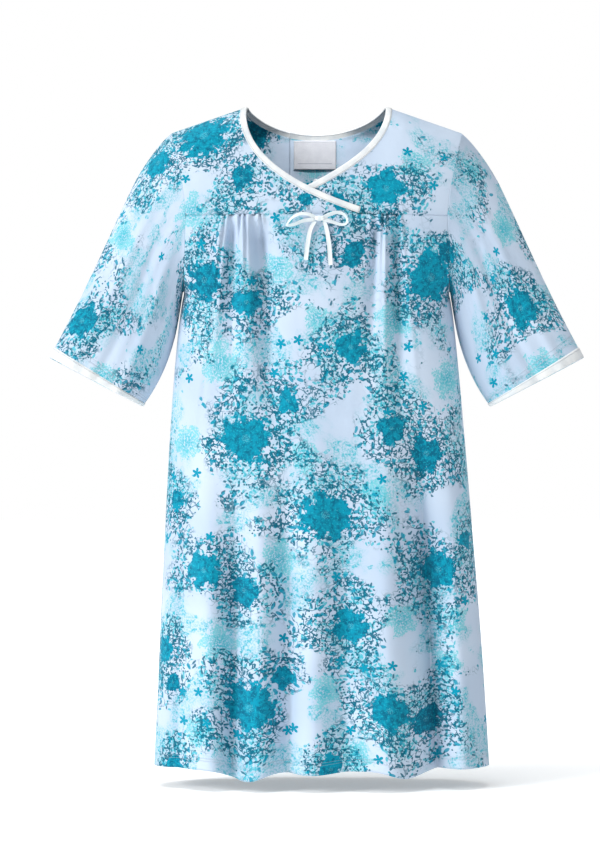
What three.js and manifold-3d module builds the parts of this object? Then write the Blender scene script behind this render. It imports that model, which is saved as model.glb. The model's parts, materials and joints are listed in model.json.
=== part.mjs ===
// A short-sleeved patient gown with a crossover V neck, a gathered yoke, a ribbon bow
// and an open back whose two flaps overlap and close with snaps.
// Millimetres, +Z up, front towards -Y. The origin is on the centre line, level with the
// points where the neckline meets the shoulder seams. Every cloth piece is a thin closed shell.

import * as THREE from "three";
import { mergeVertices } from "three/addons/utils/BufferGeometryUtils.js";
import Module from "manifold-3d";

const wasm = await Module();
wasm.setup();

// Driving dimensions -------------------------------------------------------------------

const NECK_HALF = 112; // centre line to the middle of the neck binding at the shoulder
const SHOULDER_SLOPE = 0.342; // fall of the shoulder seam per millimetre outwards
const SHOULDER_ROLL = 42; // height over which the cloth turns from the seam to upright
const YOKE_Z = -170; // seam between yoke and skirt
const UNDERARM_Z = -290; // foot of the armhole
const HEM_Z = -1040;
const ARMHOLE_TOP = 225; // centre plane to the top of the armhole
const ARMHOLE_MIDDLE = 202; // centre plane to the armhole at the yoke seam, its narrowest place
const ARMHOLE_RISE = 130; // height over which the armhole widens above the yoke seam
const UNDERARM_HALF = 206; // half width of the body at the underarm
const HEM_HALF = 260; // half width at the hem
const SHOULDER_SPARE = 70; // how much further out the section runs on above the underarm
const SPARE_RISE = 250; // height over which it does so
const CHEST_DEPTH = 92; // centre plane to the front or the back, at the chest
const HEM_DEPTH = 112; // the same at the hem
const SECTION_POWER = 2.3; // body cross-section: 2 is an ellipse, more is boxier

const CLOTH = 1.2; // thickness of a cloth shell
const TAPE = 2.2; // thickness of the folded binding tape
const BINDING = 10; // width of the neck binding
const SEAM_GAP = 0.8; // each panel stops this far short of an armhole line
const JOIN = 0.3; // each panel stops this far short of any other seam line
const LAYER = 4.6; // how far the inner back flap lies inside the outer one
const YOKE_LAYER = 3.4; // how far the crossed-under front lies inside the over one

const HINGE_TOP_HALF = 92; // half distance between the flaps' fold lines at the neck
const HINGE_HEM_HALF = 150; // the same at the hem
const OVERLAP = 42; // each flap passes the centre line by this much
const SNAP_ZS = [-108, -330, -560];
const SNAP_R = 5;
const SNAP_BALL_R = 2.3;
const SNAP_RECESS_R = 3;
const SNAP_POST_R = 1.4;
const SNAP_HOLE_R = 1.8;
const SNAP_SIDES = 12;

const LABEL = { width: 67, height: 46, thick: 0.8, x: -2, top: -42.5 };
const RIBBON = 6.5; // width of the bow's ribbon
const RIBBON_THICK = 1;
const BOW = { x: 4, z: -177.5 };
const KNOT = { x: 8, y: 3.6, z: 4.2 }; // half sizes of the knot
const LOOP_THICK = 1.6;

// Materials -----------------------------------------------------------------------------

const finish = (color, roughness) => new THREE.MeshStandardMaterial({ color, roughness, metalness: 0 });
const PRINT = finish(0xa9d3e6, 0.85);
const TRIM = finish(0xf1f3f4, 0.7);
const SATIN = finish(0xe9f1f3, 0.45);
const LABEL_CLOTH = finish(0xcfd2d8, 0.6);
const SNAP = finish(0xf4f5f5, 0.35);

// Body surface --------------------------------------------------------------------------

const clamp = THREE.MathUtils.clamp;
const lerp = THREE.MathUtils.lerp;
const smooth = (x, from, to) => THREE.MathUtils.smoothstep(x, from, to);
const HALF_PI = Math.PI / 2;
const ROLL = SHOULDER_ROLL * HALF_PI; // cloth used up by the roll over the shoulder
const SLOPE_FADE = 130; // drop over which the shoulder slope fades
const SEAM_FALL = 0.6; // cloth starts this far down from the shoulder line
const SIDE = HALF_PI - 0.0016; // cloth stops just short of the side seam

const ridgeZ = (x) => -SHOULDER_SLOPE * Math.max(Math.abs(x) - NECK_HALF, 0);

// The shoulder line's slope fades out down the cloth, so that rows end up level.
const levelZ = (x, drop) => ridgeZ(x) * (1 - smooth(drop, 0, SLOPE_FADE)) - drop;

// Half width of the body's cross-section: an A-line below the underarm; above it the
// section runs on past the armhole, which cuts it.
function halfWidth(z) {
  if (z < UNDERARM_Z) {
    const down = (UNDERARM_Z - z) / (UNDERARM_Z - HEM_Z);
    return lerp(UNDERARM_HALF, HEM_HALF, Math.pow(down, 0.7));
  }
  const up = 1 - clamp((z - UNDERARM_Z) / SPARE_RISE, 0, 1);
  return UNDERARM_HALF + SHOULDER_SPARE * (1 - up * up);
}

const halfDepth = (z) => lerp(CHEST_DEPTH, HEM_DEPTH, clamp((z + 50) / (HEM_Z + 50), 0, 1));

// Distance of the armhole line from the centre plane.
function armholeX(z) {
  const rise = clamp((z - YOKE_Z) / ARMHOLE_RISE, 0, 1);
  const foot = clamp((YOKE_Z - z) / (YOKE_Z - UNDERARM_Z), 0, 1);
  const above = (ARMHOLE_TOP - ARMHOLE_MIDDLE) * Math.pow(rise, 1.5);
  return ARMHOLE_MIDDLE + above + (UNDERARM_HALF - ARMHOLE_MIDDLE) * foot;
}

// A point of the body from cloth coordinates: `across` is the angle round from the centre
// line, `fall` the distance down the cloth from the shoulder line. `face` is -1 for the
// front and 1 for the back, and `sink` moves the point towards the wearer.
function bodyPoint(across, fall, face, sink = 0) {
  const turn = Math.min(fall / ROLL, 1) * HALF_PI;
  const drop = SHOULDER_ROLL * (1 - Math.cos(turn)) + Math.max(fall - ROLL, 0);
  let z = -drop;
  let x = 0;
  for (let round = 0; round < 9; round++) {
    x = halfWidth(z) * Math.sin(across);
    z = levelZ(x, drop);
  }
  const side = Math.pow(1 - Math.pow(Math.abs(Math.sin(across)), SECTION_POWER), 1 / SECTION_POWER);
  const y = (halfDepth(z) * side - sink) * Math.sin(turn);
  return new THREE.Vector3(x, face * y, z);
}

// Cloth coordinates of the place that is seen at x, z from straight in front.
function clothAt(x, z) {
  let drop = -z;
  for (let round = 0; round < 20; round++) drop = Math.max(levelZ(x, drop) + drop - z, 0);
  const turn = Math.acos(clamp(1 - drop / SHOULDER_ROLL, 0, 1));
  const fall = drop < SHOULDER_ROLL ? (turn / HALF_PI) * ROLL : ROLL + drop - SHOULDER_ROLL;
  const across = Math.asin(clamp(x / halfWidth(z), -1, 1));
  return [clamp(across, -SIDE, SIDE), Math.max(fall, SEAM_FALL)];
}

// Cloth coordinates of the body's edge at height z: the armhole, or the side seam below it.
function edgeAt(z, sign) {
  if (z <= UNDERARM_Z) return [sign * SIDE, clothAt(sign * halfWidth(z), z)[1]];
  const gap = SEAM_GAP * clamp((z - UNDERARM_Z) / 30, 0, 1);
  return clothAt(sign * (armholeX(z) - gap), z);
}

// Shell makers --------------------------------------------------------------------------

// Unit normal of the surface place(u, v).
function normalOf(place, u, v) {
  const step = 1e-3;
  const along = place(Math.min(u + step, 1), v).sub(place(Math.max(u - step, 0), v));
  const down = place(u, Math.min(v + step, 1)).sub(place(u, Math.max(v - step, 0)));
  return along.cross(down).normalize();
}

// A thin box with cellsU by cellsV cells, bent onto place(u, v), u and v from 0 to 1.
function sheet(place, cellsU, cellsV, thick = CLOTH) {
  const geometry = new THREE.BoxGeometry(1, 1, 1, cellsU, cellsV, 1);
  const position = geometry.attributes.position;
  for (let i = 0; i < position.count; i++) {
    const u = position.getX(i) + 0.5;
    const v = position.getY(i) + 0.5;
    const offset = normalOf(place, u, v).multiplyScalar(position.getZ(i) * thick);
    const point = place(u, v).add(offset);
    position.setXYZ(i, point.x, point.y, point.z);
  }
  return geometry;
}

// A thin ring bent onto the tube place(around, along), around in radians, along 0 to 1.
function tubeShell(place, segments, rows, thick) {
  const profile = [];
  for (let i = 0; i <= rows; i++) profile.push(new THREE.Vector2(2, i / rows));
  for (let i = rows; i >= 0; i--) profile.push(new THREE.Vector2(1, i / rows));
  profile.push(profile[0].clone());
  const geometry = new THREE.LatheGeometry(profile, segments);
  const position = geometry.attributes.position;
  for (let i = 0; i < position.count; i++) {
    const around = Math.atan2(position.getX(i), position.getZ(i));
    const outer = Math.hypot(position.getX(i), position.getZ(i)) > 1.5 ? 0.5 : -0.5;
    const along = position.getY(i);
    const point = place(around, along);
    const ahead = place(around + 1e-3, along).sub(place(around - 1e-3, along));
    const on = place(around, Math.min(along + 1e-3, 1)).sub(place(around, Math.max(along - 1e-3, 0)));
    point.add(ahead.cross(on).normalize().multiplyScalar(outer * thick));
    position.setXYZ(i, point.x, point.y, point.z);
  }
  return geometry;
}

// A patch between four edges, each a function of 0 to 1 that gives cloth coordinates.
function patch({ top, bottom, left, right }) {
  const mix = (u, v, k) => {
    const edges = (1 - v) * top(u)[k] + v * bottom(u)[k] + (1 - u) * left(v)[k] + u * right(v)[k];
    const upper = (1 - u) * top(0)[k] + u * top(1)[k];
    const lower = (1 - u) * bottom(0)[k] + u * bottom(1)[k];
    return edges - (1 - v) * upper - v * lower;
  };
  return (u, v) => [mix(u, v, 0), mix(u, v, 1)];
}

const onBody = (cloth, face, sinkAt = () => 0) => (u, v) => {
  const [across, fall] = cloth(u, v);
  return bodyPoint(across, fall, face, sinkAt(bodyPoint(across, fall, face).x));
};

const steps = (from, to) => (t) => lerp(from, to, t);
const HEM_FALL = clothAt(0, HEM_Z)[1]; // fall of the hem, which hangs level

function bezier(points) {
  const curve = new THREE.CubicBezierCurve(...points.map(([x, z]) => new THREE.Vector2(x, z)));
  return (t) => curve.getPoint(t);
}

// The same curve moved sideways, to the left of its direction of travel.
function beside(curve, distance) {
  return (t) => {
    const ahead = curve(Math.min(t + 1e-3, 1)).sub(curve(Math.max(t - 1e-3, 0))).normalize();
    return curve(t).add(new THREE.Vector2(-ahead.y, ahead.x).multiplyScalar(distance));
  };
}

const asCloth = (curve) => (t) => {
  const point = curve(t);
  return clothAt(point.x, point.y);
};

// Assembly ------------------------------------------------------------------------------

const gown = new THREE.Group();
gown.name = "patient_gown";

function add(name, geometry, material) {
  const mesh = new THREE.Mesh(geometry, material);
  mesh.name = name;
  gown.add(mesh);
  return mesh;
}

function solidOf(geometry) {
  const bare = geometry.index ? geometry.clone() : geometry;
  bare.deleteAttribute("normal");
  bare.deleteAttribute("uv");
  const merged = mergeVertices(bare, 1e-3);
  const mesh = new wasm.Mesh({
    numProp: 3,
    vertProperties: merged.attributes.position.array,
    triVerts: new Uint32Array(merged.index.array),
  });
  return new wasm.Manifold(mesh);
}

function geometryOf(solid) {
  const mesh = solid.getMesh();
  const geometry = new THREE.BufferGeometry();
  geometry.setAttribute("position", new THREE.BufferAttribute(mesh.vertProperties, 3));
  geometry.setIndex(new THREE.BufferAttribute(mesh.triVerts, 1));
  return geometry;
}

// Front: skirt, the two crossed yokes and their bindings ---------------------------------

// The binding's middle line on each front, from the neck point to the yoke seam.
const overNeck = bezier([[-NECK_HALF, 0], [-122, -62], [-70, -120], [66, -164]]);
const underNeck = bezier([[NECK_HALF, 0], [110, -60], [62, -100], [-84, -164]]);
const HALF_BINDING = BINDING / 2;
const NECK_CELLS = 18; // a yoke's edge and its binding have the same corners

const SHOULDER_END = armholeX(ridgeZ(ARMHOLE_TOP)) - SEAM_GAP; // outer end of a shoulder seam
const underSink = (x) => YOKE_LAYER * (1 - smooth(x, 78, 135));
const skirtRow = steps(YOKE_Z - JOIN, HEM_Z);

function frontSkirt() {
  const cloth = patch({
    top: (t) => clothAt(lerp(-1, 1, t) * (armholeX(YOKE_Z) - SEAM_GAP), YOKE_Z - JOIN),
    bottom: (t) => [lerp(-SIDE, SIDE, t), HEM_FALL],
    left: (t) => edgeAt(skirtRow(t), -1),
    right: (t) => edgeAt(skirtRow(t), 1),
  });
  return sheet(onBody(cloth, -1), 22, 18);
}

// A front yoke, in rows from its armhole to its neck line. side is -1 for the over front.
function frontYoke(neck, side, sinkAt) {
  const neckEdge = asCloth(beside(neck, side * (HALF_BINDING + JOIN)));
  const cloth = (u, v) => {
    const arm = edgeAt(lerp(ridgeZ(SHOULDER_END), YOKE_Z + JOIN, v), side);
    const end = neckEdge(v);
    return [lerp(arm[0], end[0], u), v === 0 ? SEAM_FALL : lerp(arm[1], end[1], u)];
  };
  return sheet(onBody(cloth, -1, sinkAt), 10, NECK_CELLS);
}

// A strip of binding tape on a front, along its middle line.
function bindingStrip(middle, sinkAt) {
  const inner = asCloth(beside(middle, HALF_BINDING));
  const outer = asCloth(beside(middle, -HALF_BINDING));
  const cloth = (u, v) => [0, 1].map((k) => lerp(inner(u)[k], outer(u)[k], v));
  return sheet(onBody(cloth, -1, sinkAt), NECK_CELLS, 1, TAPE);
}

add("front_skirt", frontSkirt(), PRINT);
add("front_yoke_over", frontYoke(overNeck, -1), PRINT);
add("front_yoke_under", frontYoke(underNeck, 1, underSink), PRINT);
add("neck_binding_over", bindingStrip(overNeck), TRIM);
add("neck_binding_under", bindingStrip(underNeck, underSink), TRIM);

// Back: a fixed panel on each side, and two flaps that overlap at the centre ---------------

// Half distance between the fold lines of the flaps at height z.
const foldX = (z) => lerp(HINGE_TOP_HALF, HINGE_HEM_HALF, z / HEM_Z);

// Middle of the binding round the back of the neck, at x.
const BACK_NECK_DROP = 38.5;
const BACK_NECK_POWER = 0.8;
function backNeckZ(x) {
  const reach = clamp(1 - (x / NECK_HALF) ** 2, 0, 1);
  return -BACK_NECK_DROP * Math.pow(reach, BACK_NECK_POWER);
}

// Upper and lower edge of that binding at x: as wide across the tape wherever it slopes.
function backBand(x) {
  const slope = (backNeckZ(x + 0.01) - backNeckZ(x - 0.01)) / 0.02;
  const half = HALF_BINDING * Math.hypot(1, slope);
  return { upper: backNeckZ(x) + half, lower: backNeckZ(x) - half };
}

const backCut = (x) => backBand(x).lower - JOIN;
const BACK_CELLS = 12;
const BACK_ROWS = 18;
const FLAP_CELLS = 10;
const NECK_SHARE = 0.25; // share of a back panel's top edge that lies along the neck binding
const flapSink = (x) => LAYER * (1 - smooth(x, 46, 84));

const FOLD_TOP = HINGE_TOP_HALF + JOIN; // where the fixed part of the back binding starts
const ROW_GROWTH = 1.2; // rows of the back get longer towards the hem

// The fixed panel between the fold line and the armhole or side seam. side is -1 or 1.
function backPanel(side) {
  const topZ = backCut(FOLD_TOP);
  const neckTop = NECK_HALF + HALF_BINDING + JOIN;
  const top = (t) => {
    const round = Math.min(t / NECK_SHARE, 1);
    const out = Math.max((t - NECK_SHARE) / (1 - NECK_SHARE), 0);
    const x = lerp(lerp(FOLD_TOP, neckTop, round), SHOULDER_END, out);
    return clothAt(side * x, round < 1 ? lerp(topZ, ridgeZ(neckTop), round) : ridgeZ(x));
  };
  const foldAt = (t) => {
    const z = lerp(topZ, HEM_Z, t ** ROW_GROWTH);
    return clothAt(side * (foldX(z) + JOIN), z);
  };
  const foot = foldAt(1);
  const cloth = patch({
    top,
    bottom: (t) => [lerp(foot[0], side * SIDE, t), lerp(foot[1], HEM_FALL, t)],
    left: foldAt,
    right: (t) => edgeAt(lerp(ridgeZ(SHOULDER_END), HEM_Z, t ** ROW_GROWTH), side),
  });
  return sheet(onBody(cloth, 1), BACK_CELLS, BACK_ROWS);
}

// A flap from its fold line to its free edge past the centre line, seen in front view.
// side is the side of the fold line.
function backFlap(side, sinkAt) {
  const across = (z, t) => side * lerp(foldX(z) - JOIN, -OVERLAP, t);
  const cloth = (u, v) => {
    const x = across(0, u);
    const top = backCut(x);
    const z = lerp(top, HEM_Z, v ** ROW_GROWTH);
    return clothAt(lerp(x, across(HEM_Z, u), z / HEM_Z), z);
  };
  return sheet(onBody(cloth, 1, sinkAt), FLAP_CELLS, BACK_ROWS);
}

// The binding round the back of the neck, between two places on one side of its fold line.
function flapBinding(side, sinkAt) {
  const cloth = (u, v) => {
    const x = side * lerp(HINGE_TOP_HALF - JOIN, -OVERLAP, u);
    const band = backBand(x);
    return clothAt(x, lerp(band.upper, band.lower, v));
  };
  return sheet(onBody(cloth, 1, sinkAt), FLAP_CELLS, 1, TAPE);
}

// The short fixed stretch of binding between the fold line and the shoulder seam.
function fixedBinding(side) {
  const band = backBand(FOLD_TOP);
  const cloth = (u, v) => {
    const x = lerp(FOLD_TOP, NECK_HALF + lerp(-HALF_BINDING, HALF_BINDING, v), u);
    return clothAt(side * x, lerp(lerp(band.upper, band.lower, v), ridgeZ(x), u));
  };
  return sheet(onBody(cloth, 1), NECK_SHARE * BACK_CELLS, 1, TAPE);
}

// A flap with a hole for each snap.
function pierced(geometry) {
  let cloth = solidOf(geometry);
  for (const z of SNAP_ZS) {
    const drill = new THREE.CylinderGeometry(SNAP_HOLE_R, SNAP_HOLE_R, CHEST_DEPTH, SNAP_SIDES);
    drill.translate(0, halfDepth(z), z);
    cloth = cloth.subtract(solidOf(drill));
  }
  return geometryOf(cloth);
}

for (const [word, side] of [["left", -1], ["right", 1]]) {
  add("back_panel_" + word, backPanel(side), PRINT);
  add("neck_binding_back_" + word, fixedBinding(side), TRIM);
}

add("back_flap_outer", pierced(backFlap(-1)), PRINT);
add("back_flap_inner", pierced(backFlap(1, flapSink)), PRINT);
add("neck_binding_flap_outer", flapBinding(-1), TRIM);
add("neck_binding_flap_inner", flapBinding(1, flapSink), TRIM);

// Snaps: cap and socket on the outer flap, stud and ring on the inner one -----------------

// Turns a profile of [radius, height] points about the Y axis through (0, z).
function turned(points, y, z) {
  const profile = points.map(([radius, height]) => new THREE.Vector2(radius, height));
  const geometry = new THREE.LatheGeometry(profile, SNAP_SIDES);
  geometry.translate(0, y, z);
  return geometry;
}

SNAP_ZS.forEach((z, i) => {
  const outer = halfDepth(z);
  const inner = outer - LAYER;
  const number = i + 1;
  const cap = [
    [0, -1.6],
    [SNAP_POST_R, -1.6],
    [SNAP_POST_R, 1],
    [SNAP_R, 1],
    [SNAP_R - 0.6, 1.8],
    [0, 2.1],
  ];
  const socket = [
    [SNAP_HOLE_R, -1.6],
    [SNAP_RECESS_R, -1.7],
    [SNAP_RECESS_R, -2.6],
    [SNAP_R - 0.3, -2.6],
    [SNAP_R, -2.2],
    [SNAP_R, -1],
    [SNAP_HOLE_R, -1],
    [SNAP_HOLE_R, -1.6],
  ];
  const stud = [
    [0, -1.6],
    [SNAP_POST_R, -1.6],
    [SNAP_POST_R, 0.9],
    [SNAP_R, 0.9],
    [SNAP_R, 1.4],
    [SNAP_BALL_R, 1.5],
    [SNAP_BALL_R, 2.4],
    [SNAP_BALL_R - 0.5, 2.7],
    [0, 2.7],
  ];
  const ring = [
    [SNAP_HOLE_R, -1.6],
    [SNAP_R - 0.4, -1.6],
    [SNAP_R, -0.9],
    [SNAP_HOLE_R, -0.9],
    [SNAP_HOLE_R, -1.6],
  ];
  add("snap_cap_" + number, turned(cap, outer, z), SNAP);
  add("snap_socket_" + number, turned(socket, outer, z), SNAP);
  add("snap_stud_" + number, turned(stud, inner, z), SNAP);
  add("snap_ring_" + number, turned(ring, inner, z), SNAP);
});

// Label, sewn in at the back of the neck on the inside of the inner flap -------------------

const labelY = halfDepth(LABEL.top) - LAYER - TAPE / 2 - 0.4 - LABEL.thick / 2;
const labelBox = new THREE.BoxGeometry(LABEL.width, LABEL.thick, LABEL.height);
labelBox.translate(LABEL.x, labelY, LABEL.top - LABEL.height / 2);
add("label", labelBox, LABEL_CLOTH);

// Sleeves -------------------------------------------------------------------------------

const SLEEVE_DEPTH = 58; // half thickness of the sleeve below the shoulder
const CUFF_DEPTH = 40; // the same at the cuff
const CUFF_AT = 0.972; // share of the sleeve's length where the cuff binding starts
const sleeveOuter = bezier([[-226.5, -40], [-275, -62], [-312, -200], [-416, -388]]);
const sleeveInner = bezier([[-208.5, -286], [-214, -335], [-225, -405], [-271, -464]]);

// A point of the sleeve: around from the shoulder (0) by the front to the underarm (PI)
// and back; along from the armhole (0) to the cuff (1).
function sleevePoint(around, along, side) {
  const share = (1 - Math.cos(around)) / 2;
  const outer = sleeveOuter(along);
  const inner = sleeveInner(along);
  const seen = outer.clone().lerp(inner, share);
  const tube = new THREE.Vector3(seen.x, -Math.sin(around) * lerp(SLEEVE_DEPTH, CUFF_DEPTH, along), seen.y);
  const top = sleeveOuter(0);
  const foot = sleeveInner(0);
  const z = lerp(top.y, foot.y, share);
  const x = armholeX(z) + SEAM_GAP + 2.2 * share ** 6;
  const seam = bodyPoint(...clothAt(-x + 2 * SEAM_GAP, z), -1);
  const armhole = new THREE.Vector3(-x, seam.y * clamp(8 * Math.sin(around), -1, 1), z);
  const point = armhole.lerp(tube, smooth(along, 0, 0.4));
  return new THREE.Vector3(-side * point.x, point.y, point.z);
}

for (const [word, side] of [["left", -1], ["right", 1]]) {
  const sleeve = (around, along) => sleevePoint(-side * around, along * (CUFF_AT - 0.003), side);
  const cuff = (around, along) => sleevePoint(-side * around, lerp(CUFF_AT, 1, along), side);
  add("sleeve_" + word, tubeShell(sleeve, 24, 12, CLOTH), PRINT);
  add("cuff_binding_" + word, tubeShell(cuff, 24, 1, TAPE), TRIM);
}

// Ribbon bow on the yoke seam -------------------------------------------------------------

const bowY = -halfDepth(YOKE_Z) - TAPE - 1.5;

const bowKnot = new THREE.SphereGeometry(1, 12, 8);
bowKnot.scale(KNOT.x, KNOT.y, KNOT.z);
bowKnot.translate(BOW.x, bowY - 2, BOW.z);
add("bow_knot", bowKnot, SATIN);

// A flat ring of ribbon that stands out sideways from the knot.
function bowLoop(reach, droop, open) {
  const outline = new THREE.Shape();
  outline.absellipse(reach / 2, 0, reach / 2, open, 0, Math.PI * 2);
  const eye = new THREE.Path();
  eye.absellipse(reach / 2, 0, reach / 2 - RIBBON * 0.7, open - RIBBON * 0.55, 0, Math.PI * 2);
  outline.holes.push(eye);
  const cut = { depth: LOOP_THICK, bevelEnabled: false, curveSegments: 12 };
  const geometry = new THREE.ExtrudeGeometry(outline, cut);
  geometry.rotateX(HALF_PI);
  geometry.rotateY(droop);
  return geometry;
}

// The tails' routes, seen from the front: x and z.
const TAIL_LEFT = [[-3, -183.5], [-10, -197], [-14, -217], [-17, -241]];
const TAIL_RIGHT = [[11, -183.5], [15, -197], [19, -220], [21, -249]];

// A flat ribbon along a route in front of the skirt.
function ribbonTail(route) {
  const path = new THREE.CatmullRomCurve3(route.map(([x, z]) => new THREE.Vector3(x, bowY, z)));
  const section = new THREE.Shape();
  section.moveTo(-RIBBON_THICK / 2, -RIBBON / 2);
  section.lineTo(RIBBON_THICK / 2, -RIBBON / 2);
  section.lineTo(RIBBON_THICK / 2, RIBBON / 2);
  section.lineTo(-RIBBON_THICK / 2, RIBBON / 2);
  return new THREE.ExtrudeGeometry(section, { steps: 10, bevelEnabled: false, extrudePath: path });
}

const loopLeft = bowLoop(42, 0, 11);
loopLeft.rotateY(Math.PI - 0.22);
loopLeft.translate(BOW.x - KNOT.x - 0.4, bowY - 1, BOW.z - 2);
add("bow_loop_left", loopLeft, SATIN);
const loopRight = bowLoop(34.5, 0.12, 10);
loopRight.translate(BOW.x + KNOT.x + 0.4, bowY - 1, BOW.z);
add("bow_loop_right", loopRight, SATIN);
add("bow_tail_left", ribbonTail(TAIL_LEFT), SATIN);
add("bow_tail_right", ribbonTail(TAIL_RIGHT), SATIN);

export default gown;
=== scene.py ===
# %% [markdown]
# # A patient gown
# A short-sleeved gown with a crossover V neck, a gathered yoke, a ribbon bow and an open back.
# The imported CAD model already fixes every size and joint. This lesson gives it its looks:
# each stiff CAD shell is replaced by cloth with folds, seams, stitching and a floral print.

# %% Load the frame
import json
import math
import random

import bmesh
import bpy
import numpy as np
from mathutils import Matrix, Vector
from mathutils.geometry import interpolate_bezier

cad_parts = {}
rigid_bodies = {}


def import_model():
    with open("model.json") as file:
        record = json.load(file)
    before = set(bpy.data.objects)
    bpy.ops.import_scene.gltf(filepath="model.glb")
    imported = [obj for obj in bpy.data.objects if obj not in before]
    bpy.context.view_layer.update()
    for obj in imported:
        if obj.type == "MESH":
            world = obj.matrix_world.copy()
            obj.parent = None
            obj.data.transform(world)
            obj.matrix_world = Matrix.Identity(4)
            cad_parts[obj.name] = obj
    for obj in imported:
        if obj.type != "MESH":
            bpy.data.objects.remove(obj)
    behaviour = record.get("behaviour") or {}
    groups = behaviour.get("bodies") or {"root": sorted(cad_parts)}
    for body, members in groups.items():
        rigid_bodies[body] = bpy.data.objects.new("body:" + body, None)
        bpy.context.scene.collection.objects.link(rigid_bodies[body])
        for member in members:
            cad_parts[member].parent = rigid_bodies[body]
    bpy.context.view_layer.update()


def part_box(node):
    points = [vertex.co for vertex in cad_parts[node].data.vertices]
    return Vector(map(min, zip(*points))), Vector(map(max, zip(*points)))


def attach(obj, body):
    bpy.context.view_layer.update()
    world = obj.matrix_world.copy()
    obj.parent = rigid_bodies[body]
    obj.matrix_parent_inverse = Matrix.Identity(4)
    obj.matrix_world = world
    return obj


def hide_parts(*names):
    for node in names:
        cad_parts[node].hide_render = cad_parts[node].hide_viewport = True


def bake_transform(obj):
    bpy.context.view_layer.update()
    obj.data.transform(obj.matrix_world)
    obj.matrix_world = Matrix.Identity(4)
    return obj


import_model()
MM = 0.001

# %% [markdown]
# ## Sizes
# The seams' heights come from the boxes of the CAD nodes. The rest repeats the part's driving
# dimensions, in metres, because the cloth has to lie exactly where the CAD shells are.

# %% Driving dimensions
YOKE_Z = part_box("front_skirt")[1][2]
HEM_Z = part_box("front_skirt")[0][2]
HEM_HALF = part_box("front_skirt")[1][0]
UNDERARM_Z = -0.290
UNDERARM_HALF = 0.206
NECK_HALF = 0.112
SHOULDER_SLOPE = 0.342
SHOULDER_ROLL = 0.042
SLOPE_FADE = 0.130
CHEST_DEPTH = 0.092
HEM_DEPTH = 0.112
SECTION_POWER = 2.3
ARMHOLE_TOP = 0.225
FLAP_LAYER = 0.0046
YOKE_LAYER = 0.0034
OVERLAP = 0.042
HEM_SWING = 0.008
FOLD_TOP_HALF = 0.092
FOLD_HEM_HALF = 0.150
CLOTH = 0.0009
print("yoke seam at", round(YOKE_Z, 4), "hem at", round(HEM_Z, 4))

# %% [markdown]
# ## The form under the cloth
# A gown worn by nobody still keeps the form of a body: an A-line tube with a boxy oval
# section that rolls over to a seam at the shoulders. Cloth coordinates say where a point
# lies: `across` is the angle round from the centre line, and `fall` the distance down the
# cloth from the shoulder line. The functions take whole arrays, so a panel is placed at once.

# %% Body form
ROLL = SHOULDER_ROLL * math.pi / 2
SIDE = math.pi / 2 - 0.0004


def lerp(a, b, t):
    return a + (b - a) * t


def smooth(x, low, high):
    t = np.clip((x - low) / (high - low), 0, 1)
    return t * t * (3 - 2 * t)


def bump(x, centre, width):
    return np.exp(-(((x - centre) / width) ** 2))


def crease(x, centre, width):
    """Like bump, with a sharp bottom."""
    return np.exp(-(np.hypot(x - centre, CREASE_ROUND) - CREASE_ROUND) / (0.8 * width))


def ridge_z(x):
    return -SHOULDER_SLOPE * np.maximum(np.abs(x) - NECK_HALF, 0)


def level_z(x, drop):
    return ridge_z(x) * (1 - smooth(drop, 0, SLOPE_FADE)) - drop


def half_width(z):
    down = np.clip((UNDERARM_Z - z) / (UNDERARM_Z - HEM_Z), 0, 1.1)
    up = 1 - np.clip((z - UNDERARM_Z) / 0.250, 0, 1)
    skirt = lerp(UNDERARM_HALF, HEM_HALF, down**0.7)
    return np.where(z < UNDERARM_Z, skirt, UNDERARM_HALF + 0.070 * (1 - up * up))


def half_depth(z):
    return lerp(CHEST_DEPTH, HEM_DEPTH, np.clip((z + 0.05) / (HEM_Z + 0.05), 0, 1))


def armhole_x(z):
    rise = np.clip((z + 0.170) / 0.130, 0, 1)
    foot = np.clip((-0.170 - z) / 0.120, 0, 1)
    return 0.202 + 0.023 * rise**1.5 + 0.004 * foot


def section(across):
    bend = np.abs(np.sin(across)) ** SECTION_POWER
    return np.clip(1 - bend, 0, 1) ** (1 / SECTION_POWER)


def body_point(across, fall, face, sink=0.0):
    """Points of the body, N by 3. face is -1 for the front and 1 for the back."""
    turn = np.minimum(fall / ROLL, 1) * math.pi / 2
    drop = SHOULDER_ROLL * (1 - np.cos(turn)) + np.maximum(fall - ROLL, 0)
    z = -drop
    for _ in range(9):
        x = half_width(z) * np.sin(across)
        z = level_z(x, drop)
    y = (half_depth(z) * section(across) - sink) * np.sin(turn)
    swing = HEM_SWING * smooth(-z, 0.350, -HEM_Z)
    return np.stack(np.broadcast_arrays(x + swing, face * y, z), axis=-1)


def cloth_at(x, z):
    """Cloth coordinates of the place seen at x, z from straight in front."""
    drop = np.maximum(-z, 0)
    for _ in range(20):
        drop = np.maximum(level_z(x, drop) + drop - z, 0)
    turn = np.arccos(np.clip(1 - drop / SHOULDER_ROLL, 0, 1))
    fall = np.where(drop < SHOULDER_ROLL, turn / (math.pi / 2) * ROLL, ROLL + drop - SHOULDER_ROLL)
    across = np.arcsin(np.clip(x / half_width(z), -1, 1))
    return np.clip(across, -SIDE, SIDE), fall


def edge_angle(z):
    """Angle of the body's edge at height z: the armhole, or the side seam below it."""
    at_armhole = np.arcsin(np.clip(armhole_x(z) / half_width(z), -1, 1))
    return np.where(z <= UNDERARM_Z, SIDE, np.minimum(at_armhole, SIDE))


print("half width at the chest:", round(float(half_width(np.array(-0.2))), 3))

# %% [markdown]
# ## Cloth panels
# A cut piece of cloth starts as a flat grid, because a grid already has the even squares that
# cloth bends along. Its corners u and v run from 0 to 1, a `cloth` function turns them into
# cloth coordinates, and the body form does the rest. The UV map keeps each point's distance in
# metres on the flat cloth, so print and weave keep their true size however the cloth lies.

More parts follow.
